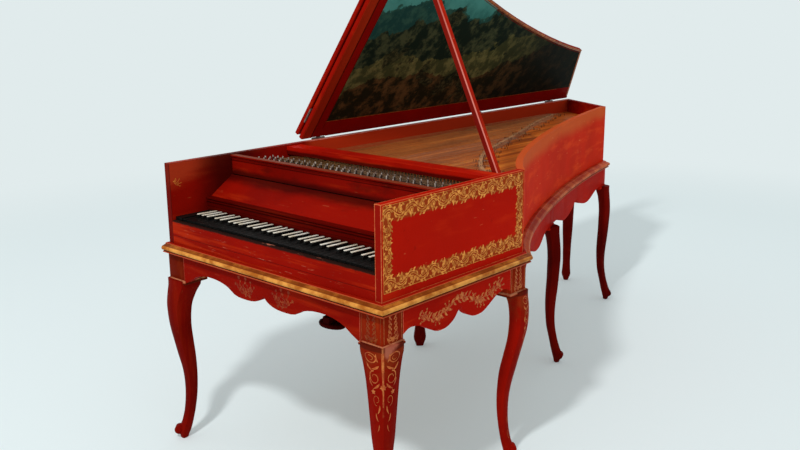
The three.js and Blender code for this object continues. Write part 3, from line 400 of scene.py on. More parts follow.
@dataclass(frozen=True)
class GiltMoulding:
    """The stand's moulding: a bright gilt cushion under a brown gilt slope, between orange lines, with a dark
    line of painted shade in the groove under the cushion and a painted highlight along the top bead.

    Attributes:
        low: height of the moulding's underside.
        high: height of its top.
    """

    low: float
    high: float

    def make(self) -> Material:
        """Builds the material."""
        shader = Shader("gilt_moulding")
        share = (shader.along((0, 0, 1)) - self.low) / (self.high - self.low)
        patch = shader.noise(17.0, 6.0, 0.62)
        gold = shader.layers(
            (0.4, 0.11, 0.012),
            (patch.over(0.36, 0.62), (0.78, 0.33, 0.065)),
            (shader.noise(120.0, 4.0, 0.7).over(0.6, 0.74) * 0.5, (0.2, 0.035, 0.01)),
        )
        brown = shader.blend(patch.over(0.4, 0.7), (0.2, 0.04, 0.005), (0.46, 0.14, 0.018))
        worn = shader.blend(patch.over(0.4, 0.6), (0.36, 0.016, 0.003), (0.52, 0.08, 0.024))
        # bands by height: the dark band near 0.2 is painted shade in the groove under the cushion, the bright
        # band near 0.925 a painted highlight on the top bead
        stops = [
            (0.0, (0.16, 0.006, 0.003)), (0.05, (0.45, 0.075, 0.022)), (0.15, (0.42, 0.06, 0.02)),
            (0.185, (0.045, 0.008, 0.004)), (0.25, (0.07, 0.016, 0.006)), (0.9, (0.12, 0.02, 0.006)),
            (0.925, (0.55, 0.12, 0.035)), (0.975, (0.5, 0.08, 0.022)), (0.99, (0.3, 0.008, 0.002)),
        ]
        behind = shader.along((0, 1, 0), place(0, 650, 0)).over(0, 20 * MM)
        colour = shader.layers(
            shader.ramp(share, stops),
            (share.over(0.26, 0.3) * share.over(0.76, 0.72), gold),
            (share.over(0.73, 0.78) * share.over(0.915, 0.895), brown),
            (behind * share.over(0.27, 0.32) * 0.8, worn),
        )
        shader.bump(patch, 0.0004, 0.4)
        return shader.connect(base_color=colour, roughness=0.42, specular_ior_level=0.03)


@dataclass(frozen=True)
class Wood:
    """Plain or varnished wood with grain along one direction.

    Attributes:
        name: the material's name.
        pale: colour of the early wood.
        deep: colour of the late wood.
        grain: how the grain is stretched along the axes.
        rings: number of bands in a metre.
        gloss: roughness of the finish.
    """

    name: str
    pale: Triple
    deep: Triple
    grain: Triple = (60.0, 2.5, 60.0)
    rings: float = 1.0
    gloss: float = 0.5

    def make(self) -> Material:
        """Builds the material."""
        shader = Shader(self.name)
        coarse = shader.noise(self.rings, 5.0, 0.6, self.grain)
        fine = shader.noise(self.rings * 3.2, 3.0, 0.5, self.grain)
        stain = shader.noise(4.0, 5.0, 0.6).over(0.56, 0.76)
        colour = shader.layers(
            self.deep,
            (coarse.over(0.3, 0.72), self.pale),
            (fine.over(0.52, 0.7) * 0.45, self.deep),
            (stain * 0.4, tuple(part * 0.45 for part in self.deep)),
        )
        shader.bump(fine, 0.0002, 0.4)
        gloss = self.gloss + coarse * 0.12
        return shader.connect(base_color=colour, roughness=gloss, specular_ior_level=0.15)


@dataclass(frozen=True)
class Metal:
    """Metal with a mottled patina.

    Attributes:
        name: the material's name.
        clean: colour of the bare metal.
        aged: colour of the patina.
        metallic: how metallic the clean places are.
        rough: roughness of the clean places.
    """

    name: str
    clean: Triple
    aged: Triple
    metallic: float = 0.9
    rough: float = 0.35

    def make(self) -> Material:
        """Builds the material."""
        shader = Shader(self.name)
        patina = shader.noise(85.0, 5.0, 0.65).over(0.42, 0.68)
        colour = shader.blend(patina, self.clean, self.aged)
        shader.bump(shader.noise(300.0, 3.0), 0.0001, 0.3)
        return shader.connect(
            base_color=colour, roughness=self.rough + patina * 0.25, metallic=self.metallic - patina * 0.3
        )


@dataclass(frozen=True)
class Ebony:
    """Black key covers, faintly streaked and polished by hands."""

    name: str = "ebony"

    def make(self) -> Material:
        """Builds the material."""
        shader = Shader(self.name)
        grain = shader.noise(1.0, 4.0, 0.6, (260.0, 14.0, 260.0))
        colour = shader.blend(grain.over(0.45, 0.75), (0.003, 0.0028, 0.0026), (0.014, 0.01, 0.008))
        shader.bump(grain, 0.00008, 0.3)
        return shader.connect(base_color=colour, roughness=0.42 + grain * 0.15, specular_ior_level=0.06)


@dataclass(frozen=True)
class Bone:
    """Bone plates on the sharps, yellowed, with fine dark pores along their length."""

    name: str = "bone"

    def make(self) -> Material:
        """Builds the material."""
        shader = Shader(self.name)
        tint = shader.noise(22.0, 4.0)
        pores = shader.noise(1.0, 3.0, 0.6, (900.0, 60.0, 900.0))
        colour = shader.blend(tint.over(0.35, 0.7), (0.74, 0.64, 0.48), (0.95, 0.91, 0.8))
        colour = shader.blend(pores.over(0.62, 0.74) * 0.6, colour, (0.3, 0.2, 0.11))
        shader.bump(pores, 0.00005, 0.3)
        return shader.connect(base_color=colour, roughness=0.3 + tint * 0.15)


@dataclass(frozen=True)
class Felt:
    """Leather and woollen cloth with a fibrous nap.

    Attributes:
        name: the material's name.
        pale: colour of the nap.
        deep: colour between the fibres.
    """

    name: str
    pale: Triple
    deep: Triple

    def make(self) -> Material:
        """Builds the material."""
        shader = Shader(self.name)
        nap = shader.noise(900.0, 4.0, 0.7)
        cloud = shader.noise(60.0, 3.0)
        colour = shader.blend(nap.over(0.3, 0.7), self.deep, self.pale)
        colour = shader.blend(cloud.over(0.5, 0.8) * 0.3, colour, self.deep)
        shader.bump(nap, 0.0003, 0.7)
        return shader.connect(base_color=colour, roughness=0.85 + cloud * 0.1, sheen_weight=0.3)


def lacquer_for(node: str, **changes: object) -> Material:
    """Lacquer whose worn edges carry a painted highlight, on the box of one CAD node."""
    low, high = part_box(node)
    return Lacquer(name=f"lacquer_{node}", box=(low, high), **changes).make()


def dress(node: str, material: Material) -> None:
    """Gives a CAD node its material."""
    mesh_object = frame["nodes"][node]
    for slot in mesh_object.material_slots:
        slot.material = material
    if not mesh_object.material_slots:
        mesh_object.data.materials.append(material)


def settle(
    mesh: BMesh, name: str, body: Body | str, material: Material, smooth: bool = False
) -> bpy.types.Object:
    """Turns a finished bmesh into a piece that rides on a body.

    Args:
        mesh: the piece's mesh, in the row frame; it is freed.
        name: the piece's name.
        body: the body that carries it.
        material: its finish.
        smooth: whether its faces shade smoothly where they meet at less than 40 degrees.

    Returns:
        The new object.
    """
    data = bpy.data.meshes.new(name)
    if smooth:
        for face in mesh.faces:
            face.smooth = True
        for edge in mesh.edges:
            edge.smooth = len(edge.link_faces) == 2 and edge.calc_face_angle(0.0) < math.radians(40)
    mesh.to_mesh(data)
    mesh.free()
    data.materials.append(material)
    piece = bpy.data.objects.new(name, data)
    bpy.context.scene.collection.objects.link(piece)
    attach(piece, body.value if isinstance(body, Body) else body)
    LOG.info("%s: %d faces", name, len(data.polygons))
    return piece


def add_block(mesh: BMesh, low: Vector, high: Vector, round_off: float = 0.0, steps: int = 1) -> list:
    """Adds a box with softened edges to a bmesh.

    Args:
        mesh: the bmesh that gains the box.
        low: its lowest corner.
        high: its highest corner.
        round_off: radius of its edges.
        steps: segments of each rounded edge.

    Returns:
        The box's vertices.
    """
    made = bmesh.ops.create_cube(mesh, size=1.0)["verts"]
    bmesh.ops.scale(mesh, vec=high - low, verts=made)
    bmesh.ops.translate(mesh, vec=(low + high) / 2, verts=made)
    if round_off > 0:
        edges = list({edge for vert in made for edge in vert.link_edges})
        done = bmesh.ops.bevel(
            mesh, geom=edges, offset=round_off, segments=steps, profile=0.5, affect="EDGES", material=-1
        )
        made = list({vert for face in done["faces"] for vert in face.verts})
    return made


def add_rod(mesh: BMesh, start: Vector, end: Vector, radius: float, sides: int = 8) -> list:
    """Adds a round rod between two points to a bmesh and returns its vertices."""
    axis = end - start
    made = bmesh.ops.create_cone(
        mesh, cap_ends=True, segments=sides, radius1=radius, radius2=radius, depth=axis.length
    )["verts"]
    turn = Vector((0, 0, 1)).rotation_difference(axis.normalized()).to_matrix()
    bmesh.ops.rotate(mesh, matrix=turn, verts=made)
    bmesh.ops.translate(mesh, vec=(start + end) / 2, verts=made)
    return made


@dataclass
class Filigree:
    """Raised gilt ornament of tapering strokes, drawn flat in millimetres and then laid on a face.

    Attributes:
        thickness: how far the strokes stand out, as a share of their half width.
        strokes: each stroke's points with their half widths.
    """

    thickness: float = 0.22
    strokes: list[list[Triple]] = field(default_factory=list)

    def line(self, points: Iterable[tuple[float, float]], width: float) -> None:
        """Draws a line of even width."""
        self.strokes.append([(x, y, width / 2) for x, y in points])

    def leaf(self, x: float, y: float, angle: float, length: float, width: float, curl: float = 0.6) -> None:
        """Draws a pointed leaf that bends to one side by curl radians."""
        points = []
        steps = 6
        for i in range(steps + 1):
            share = i / steps
            points.append((x, y, width / 2 * max(0.08, math.sin(math.pi * share**0.8))))
            heading = angle + curl * share
            x += math.cos(heading) * length / steps
            y += math.sin(heading) * length / steps
        self.strokes.append(points)

    def scroll(
        self, x: float, y: float, radius: float, start: float, turns: float, width: float,
        shrink: float = 0.78, flat: float = 1.0,
    ) -> None:
        """Draws a stem that winds in towards a centre; turns is negative for clockwise."""
        steps = max(8, int(abs(turns) * 14))
        points = []
        for i in range(steps + 1):
            share = i / steps
            angle = start + turns * 2 * math.pi * share
            reach = radius * (1 - shrink * share)
            half = width / 2 * (1 - 0.45 * share)
            points.append((x + reach * math.cos(angle), y + reach * flat * math.sin(angle), half))
        self.strokes.append(points)

    def flower(self, x: float, y: float, radius: float, petals: int = 6, turn: float = 0.0) -> None:
        """Draws a rosette of petals around a bud."""
        for i in range(petals):
            self.leaf(x, y, turn + 2 * math.pi * i / petals, radius, radius * 0.62, 0.15)
        self.strokes.append([(x - radius * 0.18, y, radius * 0.2), (x + radius * 0.18, y, radius * 0.2)])

    def border(
        self, start: tuple[float, float], end: tuple[float, float], width: float, pitch: float
    ) -> None:
        """Fills a band with a waving stem whose hollows hold scrolls, flowers and leaves.

        Args:
            start: middle of the band's first end.
            end: middle of its last end.
            width: the band's width.
            pitch: about the length of one wave's half.
        """
        run = Vector((end[0] - start[0], end[1] - start[1]))
        count = max(2, round(run.length / pitch))
        step = run.length / count
        side = Vector((-run.y, run.x)).normalized()
        ahead = run.normalized()
        heading = math.atan2(run.y, run.x)

        def at(along: float, across: float) -> tuple[float, float]:
            """Point of the band by its length and its width."""
            return tuple(Vector(start) + ahead * along + side * across)

        stem = [(i * step / 8, 0.26 * width * math.sin(math.pi * i / 8)) for i in range(count * 8 + 1)]
        self.line([at(*point) for point in stem], width * 0.07)
        for i in range(count):
            way = 1 if i % 2 == 0 else -1
            middle = (i + 0.5) * step
            x, y = at(middle, -way * 0.1 * width)
            self.scroll(x, y, width * 0.29, heading - way * 0.5 * math.pi, way * 1.15, width * 0.085)
            self.flower(x, y, width * 0.14, 5, i * 0.7)
            for share, across, lean, size in (
                (0.18, 0.34, 0.5, 0.44), (0.5, 0.38, 0.1, 0.36), (0.8, 0.34, -0.5, 0.44),
                (0.12, -0.34, -0.3, 0.34), (0.88, -0.34, 0.4, 0.34), (0.34, -0.4, 0.9, 0.3),
                (0.66, -0.4, 2.2, 0.3), (0.02, 0.12, 1.2, 0.34), (0.98, -0.08, -1.2, 0.34),
                (0.3, 0.42, 0.9, 0.3), (0.64, 0.42, 1.1, 0.28), (0.5, -0.3, -0.9, 0.3),
                (0.2, 0.02, 1.0, 0.3), (0.8, 0.02, -1.0, 0.3),
            ):
                x, y = at((i + share) * step, way * across * width)
                self.leaf(x, y, heading + way * lean, size * width, width * 0.135, -way * 1.1)

    def spray(self, x: float, y: float, angle: float, size: float) -> None:
        """Draws a bunch of stems with leaves and blossoms that opens along an angle."""
        for lean, reach in ((-0.95, 0.7), (-0.5, 0.92), (0.0, 1.0), (0.5, 0.92), (0.95, 0.7)):
            heading = angle + lean
            points = []
            px, py = x, y
            steps = 8
            for i in range(steps + 1):
                points.append((px, py))
                bend = heading + 0.55 * lean * i / steps
                px += math.cos(bend) * size * reach / steps
                py += math.sin(bend) * size * reach / steps
            self.line(points, size * 0.025)
            self.flower(px, py, size * 0.13, 6, lean)
            for share, turn in ((0.3, 0.8), (0.45, -0.8), (0.62, 0.7), (0.78, -0.7)):
                lx, ly = points[int(share * steps)]
                self.leaf(lx, ly, heading + turn, size * 0.24, size * 0.08, -turn)

    def garland(self, start: float, end: float, rise: Callable[[float], float], size: float) -> None:
        """Draws a waving stem with leaves on both sides along a line.

        Args:
            start: first end along the drawing's x.
            end: last end.
            rise: height of the line at each x.
            size: length of a leaf.
        """
        count = round(abs(end - start) / (size * 0.42))
        points = []
        for i in range(count + 1):
            x = start + (end - start) * i / count
            points.append((x, rise(x) + 0.16 * size * math.sin(i * 0.9)))
        self.line(points, size * 0.09)
        for i, (x, y) in enumerate(points):
            way = 1 if i % 2 == 0 else -1
            self.leaf(x, y, way * 1.15, size * (0.85 + 0.2 * math.sin(i * 2.3)), size * 0.3, -way * 0.9)

    def _drawn(self, name: str) -> BMesh:
        """Mesh of the strokes in metres, flattened, in the drawing's plane."""
        curve = bpy.data.curves.new(name, "CURVE")
        curve.dimensions = "3D"
        curve.bevel_depth = 1.0
        curve.bevel_resolution = 1
        curve.use_fill_caps = True
        for stroke in self.strokes:
            spline = curve.splines.new("POLY")
            spline.points.add(len(stroke) - 1)
            for point, (x, y, half) in zip(spline.points, stroke):
                point.co = (x, y, 0.0, 1.0)
                point.radius = half
        drawn = bpy.data.objects.new(name, curve)
        bpy.context.scene.collection.objects.link(drawn)
        graph = bpy.context.evaluated_depsgraph_get()
        data = bpy.data.meshes.new_from_object(drawn.evaluated_get(graph))
        bpy.data.objects.remove(drawn)
        mesh = bmesh.new()
        mesh.from_mesh(data)
        bpy.data.meshes.remove(data)
        bmesh.ops.scale(mesh, vec=Vector((1, 1, self.thickness)) * MM, verts=mesh.verts)
        return mesh

    def build(self, name: str, lay: Matrix, body: Body, material: Material) -> bpy.types.Object:
        """Makes the ornament a mesh and lays it on a face.

        Args:
            name: the piece's name.
            lay: matrix from the drawing's plane, z outwards, to the row frame.
            body: the body that carries it.
            material: its finish.

        Returns:
            The new object.
        """
        mesh = self._drawn(name)
        bmesh.ops.transform(mesh, matrix=lay, verts=mesh.verts)
        return settle(mesh, name, body, material, smooth=True)

    def wrap(self, name: str, leg: "Leg", material: Material) -> bpy.types.Object:
        """Makes the ornament a mesh and wraps it round a leg's shaft.

        Args:
            name: the piece's name.
            leg: the leg; the drawing's x is measured from its front ridge and y from the floor.
            material: its finish.

        Returns:
            The new object.
        """
        mesh = self._drawn(name)
        for vert in mesh.verts:
            height = vert.co.y / MM
            spot = leg.skin(vert.co.x / (leg.quarter * MM), height)
            away = Vector((spot.x - leg.station(height)[0], spot.y, 0)).normalized()
            vert.co = spot + away * vert.co.z
        bmesh.ops.transform(mesh, matrix=leg.seat(leg.foot), verts=mesh.verts)
        return settle(mesh, name, Body.CASE, material, smooth=True)


def facing(origin: Vector, right: Sequence[float], up: Sequence[float]) -> Matrix:
    """Matrix that lays a drawing's x and y along two directions from an origin."""
    across, rise = Vector(right).normalized(), Vector(up).normalized()
    normal = across.cross(rise)
    return Matrix.Translation(origin) @ Matrix((across, rise, normal)).transposed().to_4x4()


@dataclass(frozen=True)
class Bentside:
    """The bentside's curve in plan, in millimetres from the case's front left corner.

    Attributes:
        corners: the ends and handles of the curve, from the cheek to the tail.
    """

    corners: tuple[tuple[float, float], ...] = ((930, 627), (726, 845), (432, 1619), (316, 2189))

    def point(self, share: float) -> Vector:
        """Point at a share of the curve."""
        rest = 1 - share
        weights = (rest**3, 3 * rest**2 * share, 3 * rest * share**2, share**3)
        return sum((Vector(corner) * weight for corner, weight in zip(self.corners, weights)), Vector((0, 0)))

    def outward(self, share: float) -> Vector:
        """Unit vector that leaves the case at a share of the curve."""
        step = 0.001
        run = self.point(min(1, share + step)) - self.point(max(0, share - step))
        return Vector((run.y, -run.x)).normalized()

    def inner_y(self, x: float, offset: float) -> float:
        """Where a line along y at x meets the curve moved inwards by an offset."""
        best = self.point(0).y
        for i in range(101):
            share = i / 100
            point = self.point(share) - self.outward(share) * offset
            if point.x >= x:
                best = point.y
        return best


class LegShape(Enum):
    """Stations of a leg: share of its height, and of its reach for the outward and inward face."""

    FRONT = (
        (0.98, 0.78, -0.5), (0.937, 0.83, -0.32), (0.865, 0.89, -0.12), (0.793, 0.88, -0.04),
        (0.72, 0.83, -0.02), (0.63, 0.715, -0.06), (0.54, 0.59, -0.11), (0.45, 0.455, -0.13),
        (0.36, 0.4, -0.115), (0.27, 0.415, -0.06), (0.18, 0.49, 0.045), (0.108, 0.62, 0.16),
        (0.054, 0.78, 0.27), (0.0, 0.72, 0.42),
    )
    CHEEK = (
        (0.98, 0.8, -0.04), (0.937, 0.84, 0.05), (0.865, 0.85, 0.1), (0.793, 0.81, 0.09),
        (0.72, 0.7, 0.035), (0.63, 0.54, -0.1), (0.54, 0.385, -0.235), (0.45, 0.235, -0.3),
        (0.36, 0.15, -0.32), (0.27, 0.135, -0.29), (0.18, 0.18, -0.215), (0.108, 0.28, -0.13),
        (0.054, 0.4, -0.04), (0.0, 0.35, 0.05),
    )
    REAR = (
        (0.98, 0.9, 0.14), (0.937, 0.93, 0.24), (0.865, 0.98, 0.32), (0.793, 1.0, 0.355),
        (0.72, 0.98, 0.355), (0.63, 0.945, 0.35), (0.54, 0.895, 0.325), (0.45, 0.835, 0.315),
        (0.36, 0.81, 0.345), (0.27, 0.85, 0.41), (0.18, 0.97, 0.55), (0.108, 1.12, 0.66),
        (0.054, 1.25, 0.76), (0.0, 1.1, 0.85),
    )
    SPINE = (
        (0.98, 0.45, -0.45), (0.865, 0.41, -0.41), (0.72, 0.34, -0.34), (0.54, 0.28, -0.28),
        (0.36, 0.24, -0.24), (0.18, 0.25, -0.25), (0.108, 0.33, -0.33), (0.054, 0.36, -0.36),
        (0.0, 0.22, -0.22),
    )


@dataclass
class Leg:
    """A curved leg with its square block, collar and scrolled toe.

    Attributes:
        node: the CAD node that it replaces.
        centre: middle of the block in plan, in millimetres.
        foot: angle in plan at which the foot points.
        face: angle in plan of the block's face.
        shape: the leg's stations.
        toe_reach: from the middle of the block to the middle of the toe.
        gilded: whether its block and knee carry gold.
        section: distance of a ring's points from its middle, from one ridge to the next.
        quarter: width of one side of the knee, from ridge to ridge.
    """

    node: str
    centre: tuple[float, float]
    foot: float
    face: float
    shape: LegShape
    toe_reach: float = 62
    gilded: bool = False
    reach: float = 82
    height: float = 555.4
    block: float = 80
    top: float = 653.4
    collar: float = 12
    collar_proud: float = 5
    overlap: float = 10
    breadth: float = 1.1
    section: tuple[float, ...] = (1.0, 0.87, 0.84, 0.87)
    sides: int = 16
    levels: int = 46
    quarter: float = 60
    toe_radius: float = 15
    toe_length: float = 32
    toe_height: float = 30

    def seat(self, angle: float) -> Matrix:
        """Matrix from the leg's own axes, x at an angle in plan, to the row frame."""
        return Matrix.Translation(place(*self.centre, 0)) @ Matrix.Rotation(angle, 4, "Z")

    def station(self, height: float) -> tuple[float, float]:
        """Middle and half depth of the shaft at a height, in metres, on a smooth curve.

        Args:
            height: height above the floor, in millimetres.

        Returns:
            Distance of the shaft's middle from the block's middle, and half its depth.
        """
        table = [(1.0 + self.overlap / self.height, *self.shape.value[0][1:]), *self.shape.value]
        share = min(max(height / self.height, 0.0), table[0][0])
        number = max(i for i in range(len(table) - 1) if table[i][0] >= share or i == 0)
        before, start, end, after = (
            table[min(max(number + step, 0), len(table) - 1)] for step in (-1, 0, 1, 2)
        )
        part = (start[0] - share) / (start[0] - end[0])
        outer, inner = (
            0.5 * (
                2 * b + (c - a) * part + (2 * a - 5 * b + 4 * c - d) * part**2
                + (3 * b - a - 3 * c + d) * part**3
            )
            for a, b, c, d in zip(before[1:], start[1:], end[1:], after[1:])
        )
        return (outer + inner) / 2 * self.reach * MM, (outer - inner) / 2 * self.reach * MM

    def skin(self, around: float, height: float) -> Vector:
        """Point on the shaft in the leg's own axes.

        Args:
            around: quarters of a turn from the front ridge.
            height: height above the floor, in millimetres.

        Returns:
            The point in metres.
        """
        middle, half = self.station(height)
        place_in = abs(math.fmod(around, 1.0)) * len(self.section)
        low = int(place_in)
        steps = (*self.section, self.section[0], self.section[0])
        size = steps[low] + (steps[low + 1] - steps[low]) * (place_in - low)
        turn = around * math.pi / 2
        return Vector((
            middle + half * size * math.cos(turn), half * size * self.breadth * math.sin(turn), height * MM,
        ))

    def shaft(self) -> BMesh:
        """Shaft as rings extruded down from the block, with four ridges."""
        mesh = bmesh.new()
        ring = bmesh.ops.create_circle(mesh, segments=self.sides, radius=1.0)["verts"]
        top = self.height + self.overlap
        self._ring(ring, top)
        edges = list(mesh.edges)
        for level in range(1, self.levels + 1):
            made = bmesh.ops.extrude_edge_only(mesh, edges=edges)["geom"]
            edges = [item for item in made if isinstance(item, BMEdge)]
            ring = [item for item in made if isinstance(item, BMVert)]
            self._ring(ring, top * (1 - level / self.levels))
        bmesh.ops.holes_fill(mesh, edges=[edge for edge in mesh.edges if edge.is_boundary])
        bmesh.ops.recalc_face_normals(mesh, faces=mesh.faces)
        return mesh

    def _ring(self, ring: list, height: float) -> None:
        """Puts the points of a ring on the shaft's skin at a height."""
        centre = sum((vert.co for vert in ring), Vector()) / len(ring)
        for vert in ring:
            arm = vert.co - centre
            step = 2 * math.pi / self.sides
            angle = round(math.atan2(arm.y, arm.x) / step) * step
            vert.co = self.skin(angle / (math.pi / 2), height)

    def upper(self) -> BMesh:
        """Block with its stepped collar."""
        mesh = bmesh.new()
        half = self.block / 2
        wide = half + self.collar_proud
        low = self.height
        add_block(
            mesh, Vector((-half, -half, low + 1)) * MM, Vector((half, half, self.top)) * MM, 1.2 * MM, 2
        )
        add_block(
            mesh, Vector((-wide, -wide, low)) * MM, Vector((wide, wide, low + 0.62 * self.collar)) * MM,
            2.4 * MM, 3,
        )
        wide -= 2.2
        add_block(
            mesh, Vector((-wide, -wide, low + 0.5 * self.collar)) * MM,
            Vector((wide, wide, low + self.collar)) * MM, 1.4 * MM, 2,
        )
        return mesh

    def toe(self) -> BMesh:
        """Scroll of the foot: a fat roll with a smaller button at each end."""
        mesh = bmesh.new()
        x, z = self.toe_reach * MM, self.toe_height * MM
        half = self.toe_length / 2 * MM
        for reach, radius in ((half - 3 * MM, self.toe_radius), (half, self.toe_radius * 0.55)):
            made = add_rod(
                mesh, Vector((x, -reach, z)), Vector((x, reach, z)), radius * MM, 20
            )
            rims = [
                edge for edge in {edge for vert in made for edge in vert.link_edges}
                if abs(abs(edge.verts[0].co.y) - reach) < 1e-6 and abs(abs(edge.verts[1].co.y) - reach) < 1e-6
            ]
            bmesh.ops.bevel(
                mesh, geom=rims, offset=2 * MM, segments=3, profile=0.5, affect="EDGES", material=-1
            )
        return mesh

    def make(self, finish: Material, plain: Material) -> None:
        """Builds the leg's pieces and puts them in the CAD node's place."""
        turn = self.seat(self.foot)
        shaft = self.shaft()
        bmesh.ops.transform(shaft, matrix=turn, verts=shaft.verts)
        piece = settle(shaft, f"{self.node}_shaft", Body.CASE, finish, smooth=True)
        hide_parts(self.node)
        upper = self.upper()
        bmesh.ops.transform(upper, matrix=self.seat(self.face), verts=upper.verts)
        settle(upper, f"{self.node}_block", Body.CASE, plain, smooth=True)
        if self.shape is not LegShape.SPINE:
            toe = self.toe()
            bmesh.ops.transform(toe, matrix=turn, verts=toe.verts)
            settle(toe, f"{self.node}_toe", Body.CASE, finish, smooth=True)


@dataclass
class StandMoulding:
    """The gilt moulding on top of the stand, along the case's front, cheek, bentside and tail.

    Attributes:
        bentside: the bentside's curve.
        width: width of the case.
        spine: length of the spine.
        proud: how far the stand stands out under the spine.
        low: height of the underside.
        high: height of the top.
        steps: pieces of the bentside's curve.
        profile: points by their distance out of the case's wall and their height.
    """

    bentside: Bentside
    width: float = 930
    spine: float = 2371
    proud: float = 5
    inset: float = 50
    low: float = 653.7
    high: float = 683.7
    steps: int = 44
    profile: tuple[tuple[float, float], ...] = (
        (-50, 683.7), (8, 683.7), (11.6, 683.4), (13, 682.2), (12.6, 681.0), (15, 679.6), (20, 677.4),
        (25, 676.2), (28.4, 673.6), (30, 670), (29.4, 666.4), (27, 663.2), (22.4, 661.6), (21.4, 660.2),
        (22, 658.6), (24.6, 658), (25.4, 656.6), (24.4, 654.8), (20, 653.7), (-50, 653.7),
    )

    @staticmethod
    def mitre(first: Vector, second: Vector) -> Vector:
        """Way in which the profile's reach runs where two sides meet."""
        return (first + second) / (1 + first.dot(second))

    def stations(self) -> list[tuple[Vector, Vector]]:
        """Points of the case's plan, each with the way in which the profile's reach runs there."""
        side = self.bentside
        run = (Vector((0, self.spine)) - side.point(1)).normalized()
        tail = Vector((run.y, -run.x))
        found = [
            (Vector((-self.proud, 0)), Vector((0, -1))),
            (Vector((self.width, 0)), Vector((1, -1))),
            (side.point(0), self.mitre(Vector((1, 0)), side.outward(0))),
        ]
        shares = [i / self.steps for i in range(1, self.steps)]
        found += [(side.point(share), side.outward(share)) for share in shares]
        found.append((side.point(1), self.mitre(side.outward(1), tail)))
        found.append((Vector((-self.proud, self.spine - self.proud * run.y / run.x)), Vector((0, 1 / tail.y))))
        return found

    def make(self) -> None:
        """Sweeps the profile from the spine's side round to it again, and closes the ring along the spine."""
        mesh = bmesh.new()
        ring = [mesh.verts.new() for _ in self.profile]
        edges = [mesh.edges.new(pair) for pair in zip(ring, ring[1:] + ring[:1])]
        for number, (base, way) in enumerate(self.stations()):
            if number > 0:
                made = bmesh.ops.extrude_edge_only(mesh, edges=edges)["geom"]
                edges = [item for item in made if isinstance(item, BMEdge)]
                fresh = {item for item in made if isinstance(item, BMVert)}
                ring = [
                    next(edge.other_vert(vert) for edge in vert.link_edges if edge.other_vert(vert) in fresh)
                    for vert in ring
                ]
            for vert, (out, height) in zip(ring, self.profile):
                spot = base + way * out
                vert.co = place(spot.x, spot.y, height)
        bmesh.ops.holes_fill(mesh, edges=[edge for edge in mesh.edges if edge.is_boundary])
        bmesh.ops.recalc_face_normals(mesh, faces=mesh.faces)
        add_block(
            mesh, place(-self.proud, self.inset, self.low), place(self.inset, 2300, self.high - 0.2), 0.5 * MM
        )
        finish = GiltMoulding(self.low * MM, self.high * MM).make()
        piece = settle(mesh, "stand_gilt_moulding", Body.CASE, finish, smooth=True)
        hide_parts("stand_moulding")


